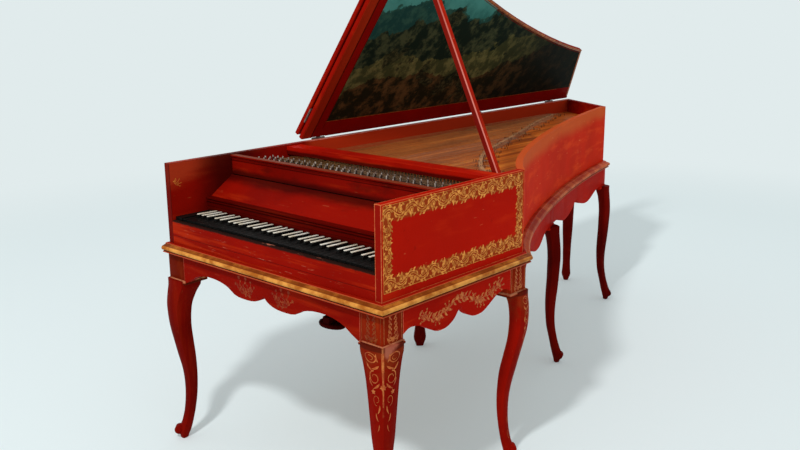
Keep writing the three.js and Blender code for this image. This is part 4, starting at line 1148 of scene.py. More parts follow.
@dataclass
class Stand:
    """Aprons, moulding and legs.

    Attributes:
        inset: from the case's side to the middle of a leg's block.
        cheek_inset: from the cheek's end to the middle of its leg's block.
        cheek: length of the cheek.
        spine: length of the spine.
        width: width of the case.
    """

    inset: float = 35
    cheek_inset: float = 28
    cheek: float = 627
    spine: float = 2371
    width: float = 930
    tail_along: float = 110
    bentside: Bentside = field(default_factory=Bentside)

    def legs(self) -> list[Leg]:
        """Every leg in its place."""
        tail_run = (Vector((0, self.spine)) - self.bentside.point(1)).normalized()
        tail_side = Vector((tail_run.y, -tail_run.x))
        end_side = self.bentside.outward(1)
        both = (end_side + tail_side) / (1 + end_side.dot(tail_side))
        middle = self.bentside.point(0.55) - self.bentside.outward(0.55) * self.inset
        side = self.bentside.outward(0.55)
        right = self.bentside.point(1) - both * self.inset
        left = Vector((0, self.spine)) - tail_run * self.tail_along - tail_side * self.inset
        right_foot = (end_side + tail_side).normalized()
        left_foot = (Vector((-1, 0)) + tail_side).normalized()
        far = self.width - self.inset

        def angle(way: Vector) -> float:
            """Angle of a direction in plan."""
            return math.atan2(way.y, way.x)

        front, rear = LegShape.FRONT, LegShape.REAR
        quarter = math.pi / 4
        return [
            Leg("leg_front_left", (self.inset, self.inset), -3 * quarter, 0, front),
            Leg("leg_front_right", (far, self.inset), -quarter, 0, front, gilded=True),
            Leg(
                "leg_cheek", (far, self.cheek - self.cheek_inset), quarter, 0, LegShape.CHEEK, 26, gilded=True
            ),
            Leg("leg_bentside", tuple(middle), angle(side), angle(side), rear, 91),
            Leg("leg_tail_right", tuple(right), angle(right_foot), angle(end_side), rear, 91),
            Leg("leg_tail_left", tuple(left), angle(left_foot), angle(tail_side), rear, 91),
            Leg("leg_spine", (22.3 + self.inset, 1160), math.pi, 0, LegShape.SPINE),
        ]

    def dress(self) -> None:
        """Builds the moulding and the legs and finishes the aprons."""
        StandMoulding(self.bentside).make()
        # the light factors make lit and shaded copies of one lacquer: painted shade on the front legs and,
        # darker still, on the rear legs, and painted light on the aprons
        plain = Lacquer("lacquer_legs", streak=(30, 30, 3), smoke=0.6, rubbed=0.3, light=0.64).make()
        far = Lacquer("lacquer_rear_legs", streak=(30, 30, 3), smoke=0.8, rubbed=0.2, light=0.5).make()
        side = Lacquer("lacquer_aprons", streak=(10, 5, 30), smoke=0.4, rubbed=0.25, light=1.5).make()
        faint = GoldLeaf("rubbed_gold", gold=(0.58, 0.17, 0.04), shade=(0.38, 0.06, 0.014), rubbed=0.8).make()
        for leg in self.legs():
            if leg.gilded:
                leg.make(self.knee_finish(leg), self.block_finish(leg))
                self.knee_gold(leg, faint)
            elif leg.shape is LegShape.FRONT:
                leg.make(plain, self.block_finish(leg))
            else:
                leg.make(far, side if leg.shape is LegShape.REAR else far)
        # the aprons' light factors are painted light and shade: the cheek's apron is brighter than the front
        # one
        dress("front_apron", lacquer_for("front_apron", smoke=0.35, light=0.85))
        dress("cheek_apron", lacquer_for("cheek_apron", streak=(30, 3, 30), smoke=0.3, light=1.45))
        for node in ("bentside_apron_front", "bentside_apron_rear", "tail_apron", "spine_apron"):
            dress(node, side)
        self.sprays(faint)

    def knee_finish(self, leg: Leg) -> Material:
        """Lacquer with a brownish gold ground at the top of the leg, a pale line along the ridge, a painted
        highlight on the knee's top and painted shade just under the collar.
        """
        shader = Shader(f"knee_{leg.node}")
        # the light factor is painted light and shade: the front leg is darker than the cheek's
        light = 0.75 if leg.shape is LegShape.FRONT else 0.95
        coat = Lacquer(streak=(30, 30, 3), smoke=0.55, rubbed=0.3, light=light).coat(shader)
        side = shader.along((-math.sin(leg.foot), math.cos(leg.foot), 0), place(*leg.centre, 0))
        height = shader.along((0, 0, 1))
        cloud = shader.noise(34.0, 5.0, 0.65)
        ground = (height + cloud * 60 * MM).over(500 * MM, 580 * MM) * cloud.over(0.3, 0.6)
        # painted highlight where the knee's top catches light, on one side of the ridge
        rubbed = (height + cloud * 40 * MM - abs(side - 14 * MM)).over(546 * MM, 566 * MM)
        rubbed = rubbed * side.over(1 * MM, 9 * MM)
        ridge = abs(side).over(3.4 * MM, 1.2 * MM) * cloud.over(0.36, 0.56) * height.over(330 * MM, 470 * MM)
        # the pale pink coat is that painted highlight; the dark band just under the collar is painted shade
        colour = shader.layers(
            coat,
            (ground * 0.7, (0.2, 0.03, 0.006)),
            (rubbed * 0.5, (0.55, 0.18, 0.11)),
            (height.over(551 * MM, 556 * MM) * (1 - rubbed) * 0.7, (0.05, 0.005, 0.003)),
            (ridge * 0.7, (0.5, 0.16, 0.05)),
        )
        shader.bump(cloud, 0.0004, 0.4)
        return shader.connect(base_color=colour, roughness=0.42, specular_ior_level=SHEEN)

    def block_finish(self, leg: Leg) -> Material:
        """Brownish ground of a block's panels over a collar with a pale line of painted highlight and a dark
        line of painted shade.
        """
        shader = Shader(f"block_{leg.node}")
        tones = {"tone": (0.25, 0.014, 0.002), "bright": (0.4, 0.05, 0.009)}
        # the light factor is painted light and shade: the plain block is darker than the gilded ones
        coat = Lacquer(streak=(30, 30, 8), smoke=0.4, light=1.0 if leg.gilded else 0.6, **tones).coat(shader)
        height = shader.along((0, 0, 1))
        # painted highlight on the collar's upper step, and painted shade at its foot
        pale = height.over(561.4 * MM, 562.6 * MM) * height.over(569.4 * MM, 568 * MM)
        colour = shader.layers(
            coat,
            (pale * shader.noise(40.0, 4.0).over(0.3, 0.5), (0.5, 0.17, 0.08)),
            (height.over(560.4 * MM, 559.6 * MM) * 0.85, (0.07, 0.01, 0.004)),
        )
        return shader.lacquered(colour, 0.42)

    @staticmethod
    def knee_gold(leg: Leg, faint: Material) -> None:
        """Scrolls, leaves and a rosette on the leg's upper part, and a few above its toe.

        Args:
            leg: the leg that carries them, on both sides of its ridge or on the left one only.
            faint: their finish.
        """
        up, down = math.pi / 2, -math.pi / 2
        scrolls = (
            (29, 537, 15, 0, 1.0, 3.2, 0.05, 0.85), (29, 536, 9, 2.0, 0.6, 2.0, 0.4, 0.8),
            (23, 486, 17, up, -1.2, 3.2, 0.6, 1.1), (20, 424, 13, down, 1.0, 2.0, 0.6, 1.3),
            (24, 86, 13, down, 0.9, 2.4, 0.6, 1.3),
        )
        leaves = (
            (10, 528, up, -0.5, 22, 5, 0.8), (8, 520, down, 0.7, 26, 6, 0.9),
            (44, 522, down, -0.4, 26, 6, -0.8), (40, 484, down, 0, 24, 6, -0.9),
            (8, 474, down, 0.5, 30, 6, 0.9), (10, 410, down, 0, 30, 5, 0.7),
            (24, 384, down, 0, 28, 4, -0.7), (14, 350, down, 0, 26, 3.5, 0.7),
            (18, 118, up, 0, 30, 5, -0.6),
        )
        drawing = Filigree(thickness=0.2)
        sides = (-1, 1) if leg.shape is LegShape.FRONT else (-1,)
        for way in sides:
            for x, y, radius, start, turns, width, shrink, flat in scrolls:
                drawing.scroll(way * x, y, radius, start, way * turns, width, shrink, flat)
            for x, y, angle, lean, length, width, curl in leaves:
                drawing.leaf(way * x, y, angle + way * lean, length, width, way * curl)
            drawing.flower(way * 30, 446, 8, 5, 0.4)
        if len(sides) == 2:
            drawing.line([(0, 552 - 7 * i) for i in range(8)], 5)
            drawing.line([(0, 502 - 8 * i) for i in range(13)], 2.2)
            drawing.flower(0, 462, 9, 6, 0.2)
        drawing.wrap(f"{leg.node}_gold", leg, faint)

    def sprays(self, faint: Material) -> None:
        """Garlands and floral sprays on the aprons and blocks."""
        side = Filigree(thickness=0.16)

        def rise(x: float) -> float:
            """Height of the garland's stem, lower over the lobes."""
            return -34 - 28 * math.sin(min(abs(x) / 210, 1.0) * math.pi) ** 2

        side.garland(-176, 190, rise, 23)
        for x, radius in ((-118, 9), (-96, 11), (-78, 8), (-14, 10), (6, 12), (24, 8), (96, 9), (118, 8)):
            side.flower(x, rise(x) + (6 if x % 4 else -6), radius, 6, x * 0.1)
        hanging = ((-150, 0.5, 30), (-60, -0.3, 26), (140, -0.5, 34), (176, -0.8, 30), (60, 0.2, 22))
        for x, lean, size in hanging:
            side.spray(x, rise(x) - 8, math.pi / 2 + lean, size)
        for x, lean in ((-104, 0.4), (104, -0.4), (82, 0.5)):
            side.spray(x, rise(x) + 4, -math.pi / 2 + lean, 26)
        middle = (75.3 + self.cheek - self.cheek_inset - 40.3) / 2
        lay = facing(place(self.width + 5.3, middle, 653.4), (0, 1, 0), (0, 0, 1))
        warm = GoldLeaf("warm_gold", gold=(0.66, 0.2, 0.045), shade=(0.44, 0.075, 0.018), rubbed=0.7).make()
        side.build("cheek_apron_garland", lay, Body.CASE, warm)
        ghost = GoldLeaf(
            "ghost_gold", gold=(0.34, 0.05, 0.008), shade=(0.24, 0.02, 0.003), rubbed=0.95
        ).make()
        front = Filigree(thickness=0.12)
        for way in (-1, 1):
            front.spray(way * 100, -64, math.pi / 2 + way * 0.4, 48)
            front.spray(way * 55, -58, math.pi / 2 - way * 0.7, 36)
        lay = facing(place(self.width / 2, -5.3, 653.4), (1, 0, 0), (0, 0, 1))
        front.build("front_apron_sprays", lay, Body.CASE, ghost)
        self.block_panels(faint)

    def block_panels(self, faint: Material) -> None:
        """Columns of scrollwork between thin lines on the blocks beside the cheek."""
        dull = GoldLeaf("dull_gold", gold=(0.3, 0.055, 0.008), shade=(0.2, 0.022, 0.003), rubbed=0.8).make()
        faces = (
            ("block_front_panel", place(self.width - 35, -5.2, 612), (1, 0, 0), dull),
            ("block_side_panel", place(self.width + 5.2, 35, 612), (0, 1, 0), faint),
            ("block_rear_panel", place(self.width + 5.2, self.cheek - self.cheek_inset, 612), (0, 1, 0), faint),
        )
        for name, origin, right, finish in faces:
            panel = Filigree(thickness=0.18)
            for way in (-1, 1):
                panel.line([(way * 34, -40), (way * 34, 38)], 2.0)
                for level in range(6):
                    z = -32 + 13 * level
                    panel.scroll(way * 10, z, 10 - level, -math.pi / 2, way * 1.1, 2.6, 0.7)
                    panel.leaf(way * 3, z, math.pi / 2 - way, 19, 5, way * 0.9)
                panel.leaf(way * 8, -36, math.pi / 2 - way * 1.3, 20, 7, way)
            panel.flower(0, -34, 10, 6)
            panel.build(name, facing(origin, right, (0, 0, 1)), Body.CASE, finish)


@dataclass
class Case:
    """Walls, boards round the keys, soundboard and ornament of the case.

    Attributes:
        width: width of the case.
        cheek: length of the cheek.
        rim: height of the rim.
        frame_low: lower edge of the cheek's gilt frame.
        frame_band: width of that frame above and below.
        frame_side: its width at the two ends.
    """

    width: float = 930
    cheek: float = 627
    rim: float = 940
    frame_low: float = 706
    frame_high: float = 934
    frame_front: float = 8
    frame_back: float = 619
    frame_band: float = 43
    frame_side: float = 33

    def dress(self, gold: Material) -> None:
        """Finishes every board and lays the ornament."""
        dress("spine", self.spine_finish())
        dress("cheek", self.cheek_finish())
        dress("bentside", self.bentside_finish())
        dress("tail", Lacquer("lacquer_tail", streak=(6, 20, 20)).make())
        dress("keyslip", self.keyslip_finish())
        # for each board: its light factor, which is painted light and shade, the shares of its height over
        # which its painted shade dies out, and the shares where dark lines run
        boards = {
            "lower_nameboard": (0.36, (0.0, 0.3), (0.35, 0.62, 0.86)),
            "upper_nameboard": (0.8, (0.08, 0.34), (0.7, 0.8)),
            "sloping_board": (0.9, (0.95, 0.58), (0.05,)),
            "jack_rail": (1.5, (0.3, 0.62), ()),
        }
        for node, values in boards.items():
            dress(node, self.shaded_board(node, *values))
        plank = Wood("plank_wood", (0.035, 0.009, 0.005), (0.013, 0.004, 0.003), (3, 50, 50))
        dress("wrest_plank", plank.make())
        dress("nut", Wood("nut_wood", (0.16, 0.08, 0.035), (0.06, 0.03, 0.012), (4, 90, 90)).make())
        pale = Wood("pine", (0.42, 0.25, 0.11), (0.24, 0.12, 0.05), (3, 60, 60), gloss=0.65).make()
        for node in ("bottom_board", "belly_rail", "key_frame"):
            dress(node, pale)
        dress("soundboard", self.board_finish())
        dress("bridge", Wood("bridge_wood", (0.62, 0.3, 0.13), (0.4, 0.16, 0.07), (30, 4, 30)).make())
        dark = Ebony("stained_block").make()
        iron = Metal("hinge_iron", (0.2, 0.16, 0.14), (0.07, 0.035, 0.028), 0.7, 0.45).make()
        for node in ("key_block_bass", "key_block_treble"):
            dress(node, dark)
        hinges = {"spine_hinge_leaf": 3, "lid_hinge_leaf": 3, "flap_hinge_leaf": 2, "lid_back_leaf": 2}
        leaves = [f"{leaf}_{number + 1}" for leaf, count in hinges.items() for number in range(count)]
        for node in ("knee_lever_bracket", "prop_bracket", "prop_peg", *leaves):
            dress(node, iron)
        self.cheek_frame(gold)
        self.trim(gold)

    def shaded_board(
        self, node: str, light: float, shade: tuple[float, float], lines: Sequence[float]
    ) -> Material:
        """Lacquer darkened by painted shade at one edge, with dark lines along it.

        The upper nameboard's top edge is worn as well.

        Args:
            node: the board's CAD node.
            light: how bright its lacquer is, which is painted light and shade.
            shade: shares of its height between which the painted shade grows lighter.
            lines: shares of its height where the lines run.

        Returns:
            The material.
        """
        shader = Shader(f"lacquer_{node}")
        coat = Lacquer(rubbed=0.6, smoke=0.5, light=light).coat(shader)
        low, high = (corner.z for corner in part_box(node))
        share = (shader.along((0, 0, 1)) - low) / (high - low)
        cloud = shader.noise(9.0, 5.0, 0.6, (0.5, 1.0, 1.0))
        # the first coat is painted shade towards one edge; the second adds dark smudges
        coats = [
            ((share + (cloud - 0.5) * 0.5).over(shade[1], shade[0]) * 0.85, (0.035, 0.0016, 0.001)),
            (cloud.over(0.54, 0.66) * 0.55, (0.07, 0.003, 0.0015)),
        ]
        for line in lines:
            near = abs(share - line).over(1.6 * MM / (high - low), 0.6 * MM / (high - low))
            coats.append((near * 0.6, (0.02, 0.001, 0.0008)))
        if node == "upper_nameboard":
            worn = (share + shader.noise(40.0, 5.0, 0.7) * 0.06).over(1.0, 1.03)
            coats.append((worn, (0.2, 0.035, 0.014)))
        return shader.lacquered(shader.layers(coat, *coats), 0.42)

    def board_finish(self) -> Material:
        """Varnished spruce with long dark and golden streaks and old stains."""
        shader = Shader("spruce")
        grain = shader.noise(1.0, 5.0, 0.6, (95.0, 1.6, 20.0))
        streak = shader.noise(1.0, 6.0, 0.68, (17.0, 1.1, 5.0))
        colour = shader.layers(
            (0.42, 0.066, 0.007),
            (grain.over(0.3, 0.72), (0.78, 0.2, 0.024)),
            (streak.over(0.42, 0.66) * 0.8, (0.2, 0.032, 0.006)),
            (streak.over(0.42, 0.3) * 0.5, (0.88, 0.34, 0.06)),
            (shader.noise(5.0, 5.0, 0.65).over(0.52, 0.66) * 0.55, (0.16, 0.035, 0.012)),
        )
        shader.bump(grain, 0.0002, 0.4)
        return shader.connect(base_color=colour, roughness=0.46, specular_ior_level=0.05)

    def cheek_finish(self) -> Material:
        """Crimson lacquer brightened by painted light, with a brown ground under the gilt frame, painted shade
        on its front end and worn edges that carry a painted highlight.
        """
        shader = Shader("lacquer_cheek")
        # light 1.55 is painted light: the cheek's side is lit brighter than the front boards
        coat = Lacquer(streak=(30, 4, 20), smoke=0.2, rubbed=0.25, light=1.55).coat(shader)
        y, z = shader.along((0, 1, 0), CORNER), shader.along((0, 0, 1))
        front, back, band = (size * MM for size in (self.frame_front, self.frame_back, self.frame_band))
        narrow = band - self.frame_side * MM
        level = (z - self.frame_low * MM).lower(self.frame_high * MM - z)
        depth = (y - front).lower(back - y).lower(level)
        inside = (y - (front - narrow)).lower(back + narrow - y).lower(level)
        ragged = inside + (shader.noise(60.0, 5.0, 0.7) - 0.5) * 26 * MM
        ground = depth.over(-1 * MM, 0.5 * MM) * ragged.over(band, band - 6 * MM)
        outside = shader.along((1, 0, 0), place(self.width, 0, 0)).over(-2 * MM, -1 * MM)
        # the dark coat on the first millimetres is painted shade on the front end; the orange edges are partly
        # wear, partly a painted highlight
        colour = shader.layers(
            coat,
            (ground * outside * 0.85, (0.3, 0.045, 0.008)),
            (y.over(3 * MM, 1 * MM) * 0.65, (0.16, 0.005, 0.003)),
            (edge_wear_and_highlight(shader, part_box("cheek")), (0.72, 0.18, 0.06)),
        )
        return shader.lacquered(colour, 0.36 + shader.noise(14.0, 4.0) * 0.2, cracked=True)

    def spine_finish(self) -> Material:
        """Lacquer that is orange near the keys' end, darkened by painted shade behind them and brightened by
        painted light along the strings.

        The outer face keeps an even lacquer.
        """
        shader = Shader("lacquer_spine")
        coat = Lacquer(streak=(30, 3, 22), rubbed=0.5, smoke=0.45, light=0.9).coat(shader)
        inner = shader.along((1, 0, 0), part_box("spine")[0]).over(2 * MM, 5 * MM)
        along, height = shader.along((0, 1, 0), CORNER), shader.along((0, 0, 1))
        smear = shader.noise(1.0, 5.0, 0.65, (30, 9, 34)) * 0.07
        rubbed = (height + smear - along * 0.25).over(0.875, 0.93)
        drift = along + shader.noise(6.0, 4.0) * 0.09
        # painted shade on the inner face behind the keys
        dark = drift.over(0.1, 0.24) * drift.over(0.5, 0.3)
        # painted light on the inner face along the strings
        rear = along.over(0.56, 0.62) * inner
        worn = edge_wear_and_highlight(shader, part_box("spine"))
        rim = height.over((self.rim - 0.6) * MM, (self.rim - 0.2) * MM)
        # at the rear a pale painted highlight lies on the rim and edges; the front end carries painted shade,
        # and the edges further forward are darker
        colour = shader.layers(
            coat,
            (rubbed * inner * 0.7, (0.4, 0.04, 0.012)),
            (dark * inner * 0.85, (0.028, 0.0015, 0.001)),
            (rear * 0.75, (0.5, 0.04, 0.009)),
            (worn.higher(rim * 0.8) * rear, (0.8, 0.27, 0.2)),
            (along.over(3 * MM, 1 * MM) * 0.7, (0.1, 0.004, 0.003)),
            (worn * (1 - rear) * 0.6, (0.06, 0.007, 0.005)),
        )
        return shader.lacquered(colour, 0.38, cracked=True)

    def bentside_finish(self) -> Material:
        """Lacquer brightened by painted light, with a painted reflection in brownish gold along its upper edge.
        """
        shader = Shader("lacquer_bentside")
        coat = Lacquer(streak=(8, 4, 22), rubbed=0.3, smoke=0.25, light=2.1, warm=2.2).coat(shader)
        depth = self.rim * MM - shader.along((0, 0, 1))
        # painted reflection of light along the upper part of the bentside
        painted_reflection = (depth + shader.noise(5.0, 4.0) * 0.05).over(0.1, 0.045)
        colour = shader.blend(painted_reflection * 0.6, coat, (0.6, 0.13, 0.03))
        shader.bump(shader.noise(60.0, 3.0), 0.00035, 0.3)
        return shader.connect(base_color=colour, roughness=0.5, specular_ior_level=SHEEN / 2)

    def keyslip_finish(self) -> Material:
        """Bright lacquer, scratched by use, with a groove darkened by painted shade and a dark top edge."""
        shader = Shader("lacquer_keyslip")
        coat = Lacquer(streak=(3, 30, 60), rubbed=0.75, smoke=0.3).coat(shader)
        height = shader.along((0, 0, 1))
        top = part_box("keyslip")[1].z
        # darker along the top edge
        wear = (height + shader.noise(30.0, 5.0, 0.7) * 6 * MM).over(top - 4 * MM, top + 1 * MM)
        # the groove's dark line is painted shade
        groove = abs(height - (top - 48 * MM)).over(1.4 * MM, 0.5 * MM)
        knock = shader.noise(1.0, 4.0, 0.65, (14, 60, 200)).over(0.65, 0.71)
        colour = shader.layers(
            coat,
            (wear, (0.02, 0.007, 0.005)),
            (groove * 0.7, (0.07, 0.004, 0.003)),
            (knock * 0.7, (0.55, 0.17, 0.1)),
        )
        shader.bump(shader.noise(60.0, 3.0) - groove * 3, 0.0004, 0.4)
        return shader.connect(base_color=colour, roughness=0.36, specular_ior_level=SHEEN)

    def cheek_frame(self, gold: Material) -> None:
        """Gilt scroll frame on the cheek, inside a thin line."""
        ornament = Filigree(thickness=0.2)
        band, side = self.frame_band, self.frame_side
        left, right, low, high = self.frame_front, self.frame_back, self.frame_low, self.frame_high
        ornament.line([(left, low), (right, low), (right, high), (left, high), (left, low)], 1.8)
        middle, width = band * 0.5, band * 0.96
        ornament.border((left, low + middle), (right, low + middle), width, 44)
        ornament.border((right, high - middle), (left, high - middle), width, 44)
        for x in (left + side / 2, right - side / 2):
            ornament.border((x, high - band), (x, low + band), side * 0.96, 34)
        origin = place(self.width + 0.1, 0, 0)
        ornament.build("cheek_gilt_frame", facing(origin, (0, 1, 0), (0, 0, 1)), Body.CASE, gold)

    def trim(self, gold: Material) -> None:
        """Rubbed gold sprig on the spine's inner face and thin beads on the boards."""
        faint = GoldLeaf("faded_gold", gold=(0.75, 0.24, 0.04), shade=(0.5, 0.1, 0.016), rubbed=0.5).make()
        sprig = Filigree(thickness=0.12)
        sprig.spray(22, 68, 0.9, 20)
        sprig.leaf(18, 78, 1.4, 14, 5, -0.8)
        origin = place(22.2, 0, 800)
        sprig.build("spine_sprig", facing(origin, (0, 1, 0), (0, 0, 1)), Body.CASE, faint)
        # light 0.35 darkens the beads: painted shade
        bead = Lacquer("lacquer_bead", warm=1.3, light=0.35).make()
        mesh = bmesh.new()
        for y, z in ((134.6, 800.5), (240.6, 926.0)):
            add_rod(mesh, place(23, y, z), place(self.width - 23, y, z), 1.3 * MM, 8)
        settle(mesh, "nameboard_beads", Body.CASE, bead, smooth=True)


@dataclass
class Keyboard:
    """The keys, drawn one by one over the joined CAD keys.

    Attributes:
        octave: width of seven naturals.
        naturals: number of naturals.
        top: height of the naturals.
    """

    octave: float = 159.25
    naturals: int = 36
    width: float = 930
    gap: float = 0.8
    front: float = 17
    top: float = 765
    depth: float = 20
    tail: float = 466
    sharp_front: float = 56
    sharp_back: float = 134
    sharp_width: float = 11
    sharp_rise: float = 12
    capstan_y: float = 455
    capstan_half: float = 3
    capstan_top: float = 796.6
    middle: int = 18
    follows: tuple[bool, ...] = (True, True, True, False, True, True, False)
    shift: tuple[float, ...] = (-0.12, 0, 0.12, 0, -0.1, 0.1, 0)

    @property
    def pitch(self) -> float:
        """Distance from one natural to the next."""
        return self.octave / 7

    @property
    def left(self) -> float:
        """Left end of the row of naturals."""
        return (self.width - self.naturals * self.pitch) / 2

    def has_sharp(self, number: int) -> bool:
        """Whether a sharp follows a natural."""
        return 0 <= number < self.naturals - 1 and self.follows[number % 7]

    def sharp_x(self, number: int) -> float:
        """Middle of the sharp after a natural."""
        return self.left + (number + 1 + self.shift[number % 7]) * self.pitch

    def lever(self, number: int) -> tuple[float, float]:
        """Left and right side of a natural's lever between the sharps."""
        side = self.sharp_width / 2 + self.gap
        left = self.left + number * self.pitch + self.gap / 2
        right = left + self.pitch - self.gap
        if self.has_sharp(number - 1):
            left = self.sharp_x(number - 1) + side
        if self.has_sharp(number):
            right = self.sharp_x(number) - side
        return left, right

    def centres(self) -> list[tuple[float, str]]:
        """Middle of every key's lever, with the body that carries it."""
        found = []
        for number in range(self.naturals):
            found.append((sum(self.lever(number)) / 2, self.body(number, False)))
            if self.has_sharp(number):
                found.append((self.sharp_x(number), self.body(number, True)))
        return found

    def body(self, number: int, sharp: bool) -> str:
        """Body that carries a key."""
        if number < self.middle:
            return "keys_bass"
        if number == self.middle:
            return "key_c_sharp_1" if sharp else "key_c1"
        if number == self.middle + 1 and not sharp:
            return "key_d1"
        return "keys_treble"

    def natural(self, covers: BMesh, levers: BMesh, number: int) -> None:
        """Adds a natural: its wooden lever, and its cover with a nosed head and a tail."""
        head_left = self.left + number * self.pitch + self.gap / 2
        head_right = head_left + self.pitch - self.gap
        left, right = self.lever(number)
        low = self.top - self.depth
        seam = self.sharp_front - self.gap
        add_block(
            covers, place(head_left, self.front, self.top - 3.2), place(head_right, seam, self.top),
            0.7 * MM, 2,
        )
        add_block(
            covers, place(left, seam - 0.3, self.top - 3.2), place(right, 150, self.top - 0.1), 0.4 * MM
        )
        add_block(
            covers, place(head_left + 0.3, self.front + 0.5, low),
            place(head_right - 0.3, 21, self.top - 3.4),
            0.5 * MM,
        )
        add_block(
            levers, place(head_left + 0.3, 21.2, low), place(head_right - 0.3, seam, self.top - 3.3)
        )
        add_block(levers, place(left, seam, low), place(right, self.tail, self.top - 3.3))
        self.capstan(levers, (left + right) / 2)

    def capstan(self, levers: BMesh, middle: float) -> None:
        """Adds the upright on a key's rear end that drives its hammer."""
        low = place(middle - self.capstan_half, self.capstan_y - 1.5, self.top - 4)
        add_block(levers, low, place(middle + self.capstan_half, self.capstan_y + 1.5, self.capstan_top))

    def sharp(
        self, plates: BMesh, covers: BMesh, levers: BMesh, number: int
    ) -> None:
        """Adds a sharp: its lever, a dark block and a bone plate, lower at the back."""
        middle = self.sharp_x(number)
        half = self.sharp_width / 2
        low = self.top - self.depth
        high = self.top + self.sharp_rise
        add_block(
            levers, place(middle - half, self.sharp_front + 1, low),
            place(middle + half, self.tail, self.top - 2),
        )
        self.capstan(levers, middle)
        for mesh, bottom, top, inset in (
            (covers, self.top - 4, high - 3.0, 0.0), (plates, high - 3.0, high, 1.6)
        ):
            made = add_block(
                mesh,
                place(middle - half + inset, self.sharp_front + inset * 2, bottom),
                place(middle + half - inset, self.sharp_back, top),
                0.9 * MM, 2,
            )
            self._slope(made, bottom * MM, top * MM)

    def _slope(self, made: list, bottom: float, top: float) -> None:
        """Narrows a sharp towards its top and lowers its back."""
        for vert in made:
            rise = (vert.co.z - bottom) / max(top - bottom, 1e-6)
            back = (vert.co.y - place(0, self.sharp_front, 0).y) / ((self.sharp_back - self.sharp_front) * MM)
            vert.co.z -= 3 * MM * back
            vert.co.y += 3.2 * MM * rise * (1 - back) * (1 if top - bottom > 4 * MM else 0)

    def dress(self, ebony: Material, bone: Material) -> None:
        """Builds the keys of each body and hides its joined solid."""
        wood = Wood("key_wood", (0.4, 0.26, 0.13), (0.22, 0.12, 0.05), (60, 3, 60), gloss=0.6).make()
        bodies = ("keys_bass", "key_c1", "key_c_sharp_1", "key_d1", "keys_treble")
        for body in bodies:
            covers, levers, plates = bmesh.new(), bmesh.new(), bmesh.new()
            for number in range(self.naturals):
                if self.body(number, False) == body:
                    self.natural(covers, levers, number)
                if self.has_sharp(number) and self.body(number, True) == body:
                    self.sharp(plates, covers, levers, number)
            piece = settle(levers, f"{body}_levers", body, wood)
            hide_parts(body)
            if covers.verts:
                settle(covers, f"{body}_covers", body, ebony, smooth=True)
            if plates.verts:
                settle(plates, f"{body}_plates", body, bone, smooth=True)
        self.battens(wood)

    def battens(self, wood: Material) -> None:
        """Strip under the levers of each group, as in the CAD solid."""
        centres = self.centres()
        for body in ("keys_bass", "keys_treble"):
            held = [x for x, owner in centres if owner == body]
            mesh = bmesh.new()
            low = self.top - self.depth
            add_block(mesh, place(held[0] - 5.5, 400, low - 4), place(held[-1] + 5.5, 412, low), 0.4 * MM)
            settle(mesh, f"{body}_batten", body, wood)


